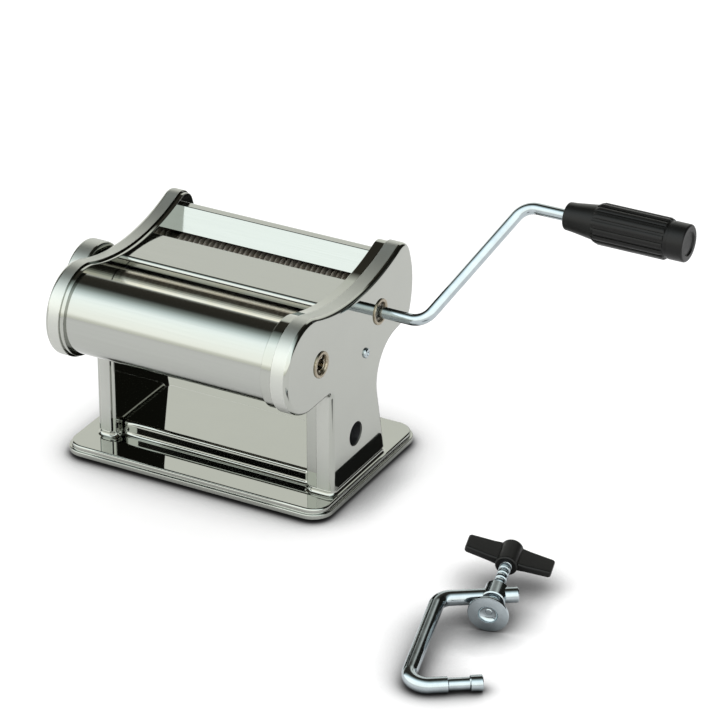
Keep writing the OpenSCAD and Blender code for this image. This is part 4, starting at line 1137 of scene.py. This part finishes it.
class PASTA_OT_crank(Builder, bpy.types.Operator):
    """Builds the bent crank rod with its pin, and the ribbed grip with its end cap"""

    bl_idname = "pasta.crank"
    bl_label = "Crank and grip"

    def execute(self, context):
        start, end = box_mm("crank_tip")[0].x, box_mm("crank_rod")[1].x
        rod_r, tip_r, chamfer, bend = 4.0, 3.4, 0.6, 14
        head_r, head, head_edge = 5.5, 3, 0.4
        elbow = RIGHT_FACE + CRANK_REACH
        path = bent_path([(start, 0), (elbow, 0), (elbow + CRANK_LEAN, CRANK_RADIUS),
                          (end - head, CRANK_RADIUS)], bend)
        path.insert(1, ((start + chamfer, 0), 0))
        shape = Shape(ON_CRANK)
        shape.add(*rod(path, [tip_r] + [rod_r] * (len(path) - 1)))
        shape.add(*revolve([(0, end - head), (head_r, end - head), (head_r, end - head_edge),
                            (head_r - head_edge, end), (0, end)], 32), place=ON_GRIP)
        make_piece(context, "crank_rod_bent", mesh_of(shape), "crank", "zinc_steel",
                   ["crank_rod", "crank_tip"])
        dressed_copy(context, "crank_pin", "crank", "zinc_steel", "pressed")
        self.grip(context)
        return {"FINISHED"}

    def grip(self, context):
        """Tapered neck, ribbed barrel and a dished cap."""
        ribs = context.scene.pasta_sizes.grip_ribs
        start, end = box_mm("crank_grip")[0].x, box_mm("crank_grip")[1].x
        neck = start + 24.5
        core, rib = Shape(Matrix.Identity(4)), Shape(Matrix.Identity(4))
        core.add(*turned_tube(self.barrel(start, neck, end), 96))
        rib.add(*loft(self.rib(ribs, neck, end), first_cap=True, last_cap=True))
        round_ribs = realised(ring_tree(finish_of(context, "black_plastic")), mesh_of(rib), Count=ribs)
        whole = joined([mesh_of(core), round_ribs])
        whole.transform(ON_GRIP)
        make_piece(context, "crank_grip_ribbed", whole, "grip", "black_plastic", ["crank_grip"])
        cap = Shape(ON_GRIP)
        cap.add(*revolve(self.cap(end)))
        make_piece(context, "grip_cap_dished", mesh_of(cap), "grip", "black_plastic", ["grip_cap"])

    def barrel(self, start, neck, end):
        """Loop of (radius, x) points: collar, taper, barrel, and a bore with room for the rod's head."""
        bore, recess_r, recess = 4.05, 5.9, end - 8.4
        collar, collar_edge = 8.2, 1.3
        core_r = 13.1
        return ([(bore, start), (collar, start)]
                + arc((collar, start + collar_edge), collar_edge, -75, 0, 15)
                + [(9.9, start + 6), (12.1, neck - 2.5), (12.6, neck - 1), (core_r, neck),
                   (core_r, end - 2.6), (12.4, end - 1.8), (12.3, end), (recess_r, end), (recess_r, recess),
                   (bore, recess)])

    def rib(self, ribs, neck, end):
        """Rings of one rib along the barrel: rounded across, and sinking in at both ends."""
        rib_share, root, shoulder, crown = 0.72, 12.7, 13.6, 0.6
        sunk_r, least = 12.4, 0.25
        half = rib_share * math.pi / ribs
        section = [(-half, root), (-half, shoulder)]
        section += [(half * math.sin(math.radians(a)), shoulder + crown * math.cos(math.radians(a)))
                    for a in (-70, -45, -20, 0, 20, 45, 70)]
        section += [(half, shoulder), (half, root)]
        stations = [(neck - 2.2, 0.0), (neck - 0.8, 0.55), (neck + 1.0, 1.0),
                    (end - 3.6, 1.0), (end - 2.6, 0.55), (end - 2.2, 0.0)]
        rings = []
        for x, share in stations:
            rise = least + (1 - least) * share
            radii = [(angle, sunk_r + (radius - sunk_r) * rise) for angle, radius in section]
            rings.append([(x, r * math.cos(angle), r * math.sin(angle)) for angle, r in radii])
        return rings

    def cap(self, start):
        """Profile of the cap, with a rounded edge and a shallow dish."""
        cap_r, edge, dish = 12.85, 1.5, 1.0
        end = start + 11.6
        return ([(0, start), (12.6, start), (cap_r, start + 0.4)]
                + arc((cap_r - edge, end - edge), edge, 0, 90, 10)
                + [(8.7, end), (8.4, end - 0.2), (7.7, end - dish), (0, end - dish)])


class PASTA_OT_clamp(Builder, bpy.types.Operator):
    """Builds the table clamp: bent bar, threaded screw, dished pad and wing handle"""

    bl_idname = "pasta.clamp"
    bl_label = "Table clamp"

    def execute(self, context):
        self.bar(context)
        self.screw(context)
        self.pad(context)
        self.wing(context)
        return {"FINISHED"}

    def bar(self, context):
        """Bent bar with a turned lower end, and the eye that is welded to its upper arm."""
        bend, groove_r, end_r, end_chamfer = 11, 4.15, 4.6, 0.6
        end = (UPPER_BEND[0] + UPPER_ARM, UPPER_BEND[1])
        path = bent_path([(LOWER_ARM, 0), (0, 0), UPPER_BEND, end], bend)
        turned = [(LOWER_ARM, 4.7), (48.5, BAR_R), (41.4, BAR_R), (40.6, groove_r), (27.6, groove_r),
                  (27.4, 4.6), (27.0, BAR_R)]
        stations = [((x, 0), 180.0, r) for x, r in turned] + [(p, h, BAR_R) for p, h in path[1:-1]]
        stations += [((end[0] - end_chamfer, end[1]), 0.0, BAR_R), (end, 0.0, end_r)]
        shape = Shape(ON_CLAMP)
        shape.add(*rod([(p, h) for p, h, _ in stations], [r for _, _, r in stations]))
        eye_bore, eye_r, eye_half, chamfer = 4.06, 8.0, 6.5, 0.6
        eye = [(eye_bore, -eye_half), (eye_r - chamfer, -eye_half), (eye_r, chamfer - eye_half),
               (eye_r, eye_half - chamfer), (eye_r - chamfer, eye_half), (eye_bore, eye_half)]
        shape.add(*turned_tube(eye, 48), place=ON_SCREW)
        make_piece(context, "clamp_bar_bent", mesh_of(shape), "frame", "zinc_steel",
                   ["clamp_bar", "clamp_eye"])

    def screw(self, context):
        """Screw with a wound thread, its tip in the pad."""
        core_r, tip_r, tip, end_r, chamfer = 3.5, 2.9, 1.6, 3.0, 0.6
        ridge_r, ridge, thread_start, thread_length = 3.42, 0.55, -10.6, 42.0
        start, end = -PAD_PLACE - tip, SCREW_END
        core = Shape(Matrix.Identity(4))
        core.add(*revolve([(0, start), (tip_r, start), (core_r, start + tip), (core_r, end - chamfer),
                           (end_r, end), (0, end)], 48))
        pitch = context.scene.pasta_sizes.thread_pitch / MM
        thread = realised(thread_tree(finish_of(context, "zinc_steel")), bpy.data.meshes.new("seed"),
                          Radius=ridge_r, Pitch=pitch, Length=thread_length, Ridge=ridge)
        thread.transform(Matrix.Translation((thread_start, 0, 0)) @ Matrix.Rotation(math.radians(90), 4, "Y"))
        whole = joined([mesh_of(core), thread])
        whole.transform(ON_SCREW)
        make_piece(context, "clamp_screw_threaded", whole, "screw", "zinc_steel", ["clamp_screw"])

    def pad(self, context):
        """Pad with a dish in its face and a socket for the screw's tip in its neck."""
        back, under = -PAD_PLACE, -PAD_PLACE - PAD_THICK
        dish_r, dish_deep, dish_flat, dish_floor = 4.2, 2.9, 2.3, back - 3.1
        neck_r, socket_r, socket = 7.5, 4.05, back - 1.6
        dish = [(0, back - 3.4), (1.9, back - 3.4), (dish_flat, dish_floor)]
        dish += [(dish_flat + dish_r * math.sin(math.radians(a)),
                  dish_floor - dish_deep * (1 - math.cos(math.radians(a)))) for a in range(15, 91, 15)]
        rim = [(7.2, under), (PAD_R - 0.8, under), (PAD_R - 0.2, under + 0.3), (PAD_R, under + 0.8),
               (PAD_R - 0.1, under + 1.7), (PAD_R - 0.6, under + 2.2), (neck_r + 0.4, under + 2.2),
               (neck_r, under + 2.6), (neck_r, back - 0.4), (neck_r - 0.4, back), (socket_r, back),
               (socket_r, socket), (0, socket)]
        shape = Shape(ON_SCREW)
        shape.add(*revolve(dish + rim))
        make_piece(context, "clamp_pad_dished", mesh_of(shape), "pad", "zinc_steel", ["clamp_pad"])

    def wing(self, context):
        """Wing handle: a hub with a flat, tapering wing on each side."""
        hub_r, hub, grip_on, turn = 7.5, 20.0, 18.0, math.radians(10)
        corner, thin_share = 1.5, 0.6
        start = SCREW_END - grip_on
        shape = Shape(ON_SCREW @ Matrix.Rotation(turn, 4, "X"))
        end = start + hub
        shape.add(*revolve([(0, start), (hub_r - 0.9, start), (hub_r - 0.2, start + 0.7),
                            (hub_r, start + 1.6), (hub_r, end - 1.0), (hub_r - 0.3, end - 0.3),
                            (hub_r - 1.1, end), (0, end)], 48))
        # Distance out along the wing, half its thickness, and its lower and upper edge
        stations = [(3.0, 3.25, 2.0, 20.0), (8.6, 2.9, 2.2, 19.8), (12.0, 2.6, 2.6, 19.6),
                    (27.4, 2.6, 4.4, 18.6), (28.6, 2.2, 5.0, 18.0), (29.0, 1.5, 5.8, 17.2)]
        for side in (-1, 1):
            rings = []
            for y, thick, low, high in stations:
                r = min(corner, thin_share * thick)
                centres = [(high - r, thick - r, 0), (low + r, thick - r, 90), (low + r, r - thick, 180),
                           (high - r, r - thick, 270)]
                ring = [p for x, z, a in centres for p in arc((x, z), r, a, a + 90, 18)]
                rings.append([(start + x, side * y, z) for x, z in ring])
            shape.add(*loft(rings, first_cap=True, last_cap=True))
        make_piece(context, "wing_handle_moulded", mesh_of(shape), "screw", "black_plastic", ["wing_handle"])


class PASTA_OT_stage(Builder, bpy.types.Operator):
    """Builds the white floor, the tent and cards that the metal mirrors, the lamps and the camera"""

    bl_idname = "pasta.stage"
    bl_label = "Studio"

    def execute(self, context):
        self.floor(context)
        self.tent(context)
        self.cards(context)
        self.world(context)
        self.lamps(context)
        self.camera(context)
        context.scene.view_settings.view_transform = "Standard"
        return {"FINISHED"}

    def shown(self, tree):
        """1 where the camera, or a mirror or glass that it looks at, meets the surface."""
        path = add_node(tree, "ShaderNodeLightPath").outputs
        metal = add_node(tree, "ShaderNodeMath", {0: path["Is Camera Ray"], 1: path["Is Glossy Ray"]},
                         operation="MAXIMUM").outputs[0]
        return add_node(tree, "ShaderNodeMath", {0: metal, 1: path["Is Transmission Ray"]},
                        operation="MAXIMUM").outputs[0]

    def floor(self, context):
        """White paper, lifted to white where it is shown, with a painted shadow that darkens it close to what
        stands on it.
        """
        half, painted_shadow_reach, falloff, lift_level = 8, 0.035, 3.0, 0.38
        material = bpy.data.materials.new("white_studio_floor")
        tree = emptied(material)
        seen = self.shown(tree)
        # Painted contact shadow: ambient occlusion darkens the paper's colour and its lift near the machine
        near = add_node(tree, "ShaderNodeAmbientOcclusion", {"Distance": painted_shadow_reach}, samples=16)
        clear = add_node(tree, "ShaderNodeMath", {0: near.outputs["AO"], 1: falloff},
                         operation="POWER").outputs[0]
        shade = add_node(tree, "ShaderNodeMix", {
            SHARE: clear, FIRST: rgba(linear("#303030")), SECOND: rgba(linear("#e2e2e2")),
        }, data_type="RGBA")
        paper = add_node(tree, "ShaderNodeBsdfDiffuse", {"Color": shade.outputs[MIXED]})
        open_floor = add_node(tree, "ShaderNodeMath", {0: clear, 1: lift_level}, operation="MULTIPLY")
        lift = add_node(tree, "ShaderNodeMath", {0: seen, 1: open_floor.outputs[0]}, operation="MULTIPLY")
        glow = add_node(tree, "ShaderNodeEmission", {"Color": (1, 1, 1, 1), "Strength": lift.outputs[0]})
        both = add_node(tree, "ShaderNodeAddShader", {0: paper.outputs["BSDF"], 1: glow.outputs["Emission"]})
        add_node(tree, "ShaderNodeOutputMaterial", {"Surface": both.outputs["Shader"]})
        mesh = bpy.data.meshes.new("studio_floor")
        mesh.from_pydata([(-half, -half, 0), (half, -half, 0), (half, half, 0), (-half, half, 0)], [],
                         [(0, 1, 2, 3)])
        mesh.materials.append(material)
        floor = bpy.data.objects.new("studio_floor", mesh)
        context.scene.collection.objects.link(floor)

    # Colours of the tent from the rear floor over the roof to the front floor, by share of the half turn
    TENT_STOPS = [(0.0, "#babbb6"), (0.20, "#babbb6"), (0.25, "#b2b4ae"), (0.285, "#2c2a25"),
                  (0.46, "#24231f"), (0.53, "#7a8381"), (0.61, "#c8d4d6"), (0.67, "#f0f8fa"),
                  (0.74, "#f4faf9"), (0.80, "#f4f8f6"), (0.93, "#f2f3ee"), (0.97, "#c8c8c0"),
                  (1.0, "#b8b9b2")]

    def tent(self, context):
        """A dome that only the metal mirrors: pale walls, a dark roof and a dark flag behind on the right."""
        radius, level = 6.0, 2.36
        material, tree, place = new_material("studio_tent")
        axes = add_node(tree, "ShaderNodeSeparateXYZ", {"Vector": place}).outputs
        turn = add_node(tree, "ShaderNodeMath", {0: axes["Z"], 1: axes["Y"]}, operation="ARCTAN2")
        share = add_node(tree, "ShaderNodeMath", {0: turn.outputs[0], 1: math.pi}, operation="DIVIDE")
        ramp = add_node(tree, "ShaderNodeValToRGB", {"Fac": share.outputs[0]})
        elements = ramp.color_ramp.elements
        while len(elements) < len(self.TENT_STOPS):
            elements.new(0.5)
        for element, (position, code) in zip(elements, self.TENT_STOPS):
            element.position, element.color = position, rgba(linear(code))
        side = add_node(tree, "ShaderNodeMapRange", {"Value": axes["X"], "From Min": 0.6, "From Max": 1.8})
        behind = add_node(tree, "ShaderNodeMapRange", {"Value": axes["Y"], "From Min": 0.5, "From Max": 1.5})
        flag = add_node(tree, "ShaderNodeMath", {0: side.outputs[0], 1: behind.outputs[0]},
                        operation="MULTIPLY")
        walls = add_node(tree, "ShaderNodeMix", {
            SHARE: flag.outputs[0], FIRST: ramp.outputs["Color"], SECOND: rgba(linear("#161613")),
        }, data_type="RGBA")
        glow = add_node(tree, "ShaderNodeEmission", {"Color": walls.outputs[MIXED], "Strength": level})
        add_node(tree, "ShaderNodeOutputMaterial", {"Surface": glow.outputs["Emission"]})
        mesh = bpy.data.meshes.new("studio_tent")
        work = bmesh.new()
        bmesh.ops.create_uvsphere(work, u_segments=48, v_segments=24, radius=radius)
        work.to_mesh(mesh)
        work.free()
        mesh.materials.append(material)
        self.mirrored_only(context, "studio_tent", mesh)

    def cards(self, context):
        """Black cards that only the metal mirrors: behind, beside the right foot and in front."""
        lying = 0.0006
        rows = [("rear_card", (-0.12, 0.072, lying), (0.105, 0.35, lying)),
                ("side_card", (0.108, -0.018, lying), (0.121, 0.062, lying)),
                ("front_card", (-0.100, -0.1, 0.03), (0.042, -0.1, 0.062))]
        black = bpy.data.materials.new("black_card")
        black.use_nodes = True
        black.node_tree.nodes["Principled BSDF"].inputs["Base Color"].default_value = rgba(linear("#0c0c0b"))
        for name, (x0, y0, z0), (x1, y1, z1) in rows:
            card = bpy.data.meshes.new(name)
            card.from_pydata([(x0, y0, z0), (x1, y0, z0), (x1, y1, z1), (x0, y1, z1)], [], [(0, 1, 2, 3)])
            card.materials.append(black)
            self.mirrored_only(context, name, card)

    def mirrored_only(self, context, name, mesh):
        """Puts a mesh on the stage where only reflections meet it."""
        thing = bpy.data.objects.new(name, mesh)
        context.scene.collection.objects.link(thing)
        thing.visible_camera = thing.visible_diffuse = thing.visible_shadow = False
        thing.visible_transmission = thing.visible_volume_scatter = False

    def world(self, context):
        """White where it is shown, and slightly less as a light."""
        light_level, shown_level = 0.92, 1.0
        world = bpy.data.worlds.new("studio_world")
        context.scene.world = world
        tree = emptied(world)
        level = add_node(tree, "ShaderNodeMapRange", {
            "Value": self.shown(tree), "To Min": light_level, "To Max": shown_level})
        sky = add_node(tree, "ShaderNodeBackground", {
            "Color": (1, 1, 1, 1), "Strength": level.outputs["Result"]})
        add_node(tree, "ShaderNodeOutputWorld", {"Surface": sky.outputs["Background"]})

    def lamps(self, context):
        """Three round lamps that the metal doesn't mirror, each with its place, width and power."""
        target = Vector((0.05, -0.03, 0.06))
        rows = [("key_lamp", (-0.9, -1.0, 1.5), 1.1, 4.0), ("fill_lamp", (1.3, -0.7, 1.1), 1.2, 2.0),
                ("top_lamp", (0.1, 0.5, 1.7), 1.2, 2.0)]
        for name, place, width, power in rows:
            data = bpy.data.lights.new(name, "AREA")
            data.shape, data.size, data.energy = "DISK", width, power
            lamp = bpy.data.objects.new(name, data)
            context.scene.collection.objects.link(lamp)
            lamp.location = place
            lamp.rotation_mode = "QUATERNION"
            lamp.rotation_quaternion = (target - Vector(place)).to_track_quat("-Z", "Y")
            lamp.visible_glossy = False

    def camera(self, context):
        """The photograph's view, for an image of 720 by 720."""
        pixels, focal_pixels, distance = 720, 3756.5, 2.5907
        azimuth, height = math.radians(30.72), math.radians(29.13)
        origin_x, origin_y = 240.15, 444.69
        back = Vector((math.sin(azimuth) * math.cos(height), -math.cos(azimuth) * math.cos(height),
                       math.sin(height)))
        right = Vector((math.cos(azimuth), math.sin(azimuth), 0))
        up = back.cross(right)
        aim = (right * (pixels / 2 - origin_x) / focal_pixels + up * (origin_y - pixels / 2) / focal_pixels
               - back)
        data = bpy.data.cameras.new("photo_camera")
        data.sensor_width = 36
        data.lens = focal_pixels / pixels * data.sensor_width
        data.clip_start, data.clip_end = 0.05, 50
        camera = bpy.data.objects.new("photo_camera", data)
        context.scene.collection.objects.link(camera)
        camera.location = back * distance
        camera.rotation_mode = "QUATERNION"
        camera.rotation_quaternion = aim.to_track_quat("-Z", "Y")
        context.scene.camera = camera


class PASTA_PT_machine(bpy.types.Panel):
    """Sidebar list of the machine's builders, sizes and colours"""

    bl_idname = "PASTA_PT_machine"
    bl_label = "Pasta machine"
    bl_space_type = "VIEW_3D"
    bl_region_type = "UI"
    bl_category = "Pasta machine"

    def draw(self, context):
        column = self.layout.column()
        for operator in OPERATORS:
            column.operator(operator.bl_idname)
        for group in (context.scene.pasta_sizes, context.scene.pasta_colours):
            for name in group.bl_rna.properties.keys():
                if name not in ("rna_type", "name"):
                    column.prop(group, name)


OPERATORS = (PASTA_OT_base, PASTA_OT_cheeks, PASTA_OT_covers, PASTA_OT_fixings, PASTA_OT_running_gear,
             PASTA_OT_dial, PASTA_OT_crank, PASTA_OT_clamp, PASTA_OT_stage)
CLASSES = (PastaMachineSizes, PastaMachineColours, *OPERATORS, PASTA_PT_machine)


def register():
    for item in CLASSES:
        bpy.utils.register_class(item)
    bpy.types.Scene.pasta_sizes = PointerProperty(type=PastaMachineSizes)
    bpy.types.Scene.pasta_colours = PointerProperty(type=PastaMachineColours)


def unregister():
    del bpy.types.Scene.pasta_colours
    del bpy.types.Scene.pasta_sizes
    for item in reversed(CLASSES):
        bpy.utils.unregister_class(item)


def main():
    """Builds every piece in order."""
    register()
    for operator in OPERATORS:
        area, name = operator.bl_idname.split(".")
        getattr(getattr(bpy.ops, area), name)()


if __name__ == "__main__":
    main()
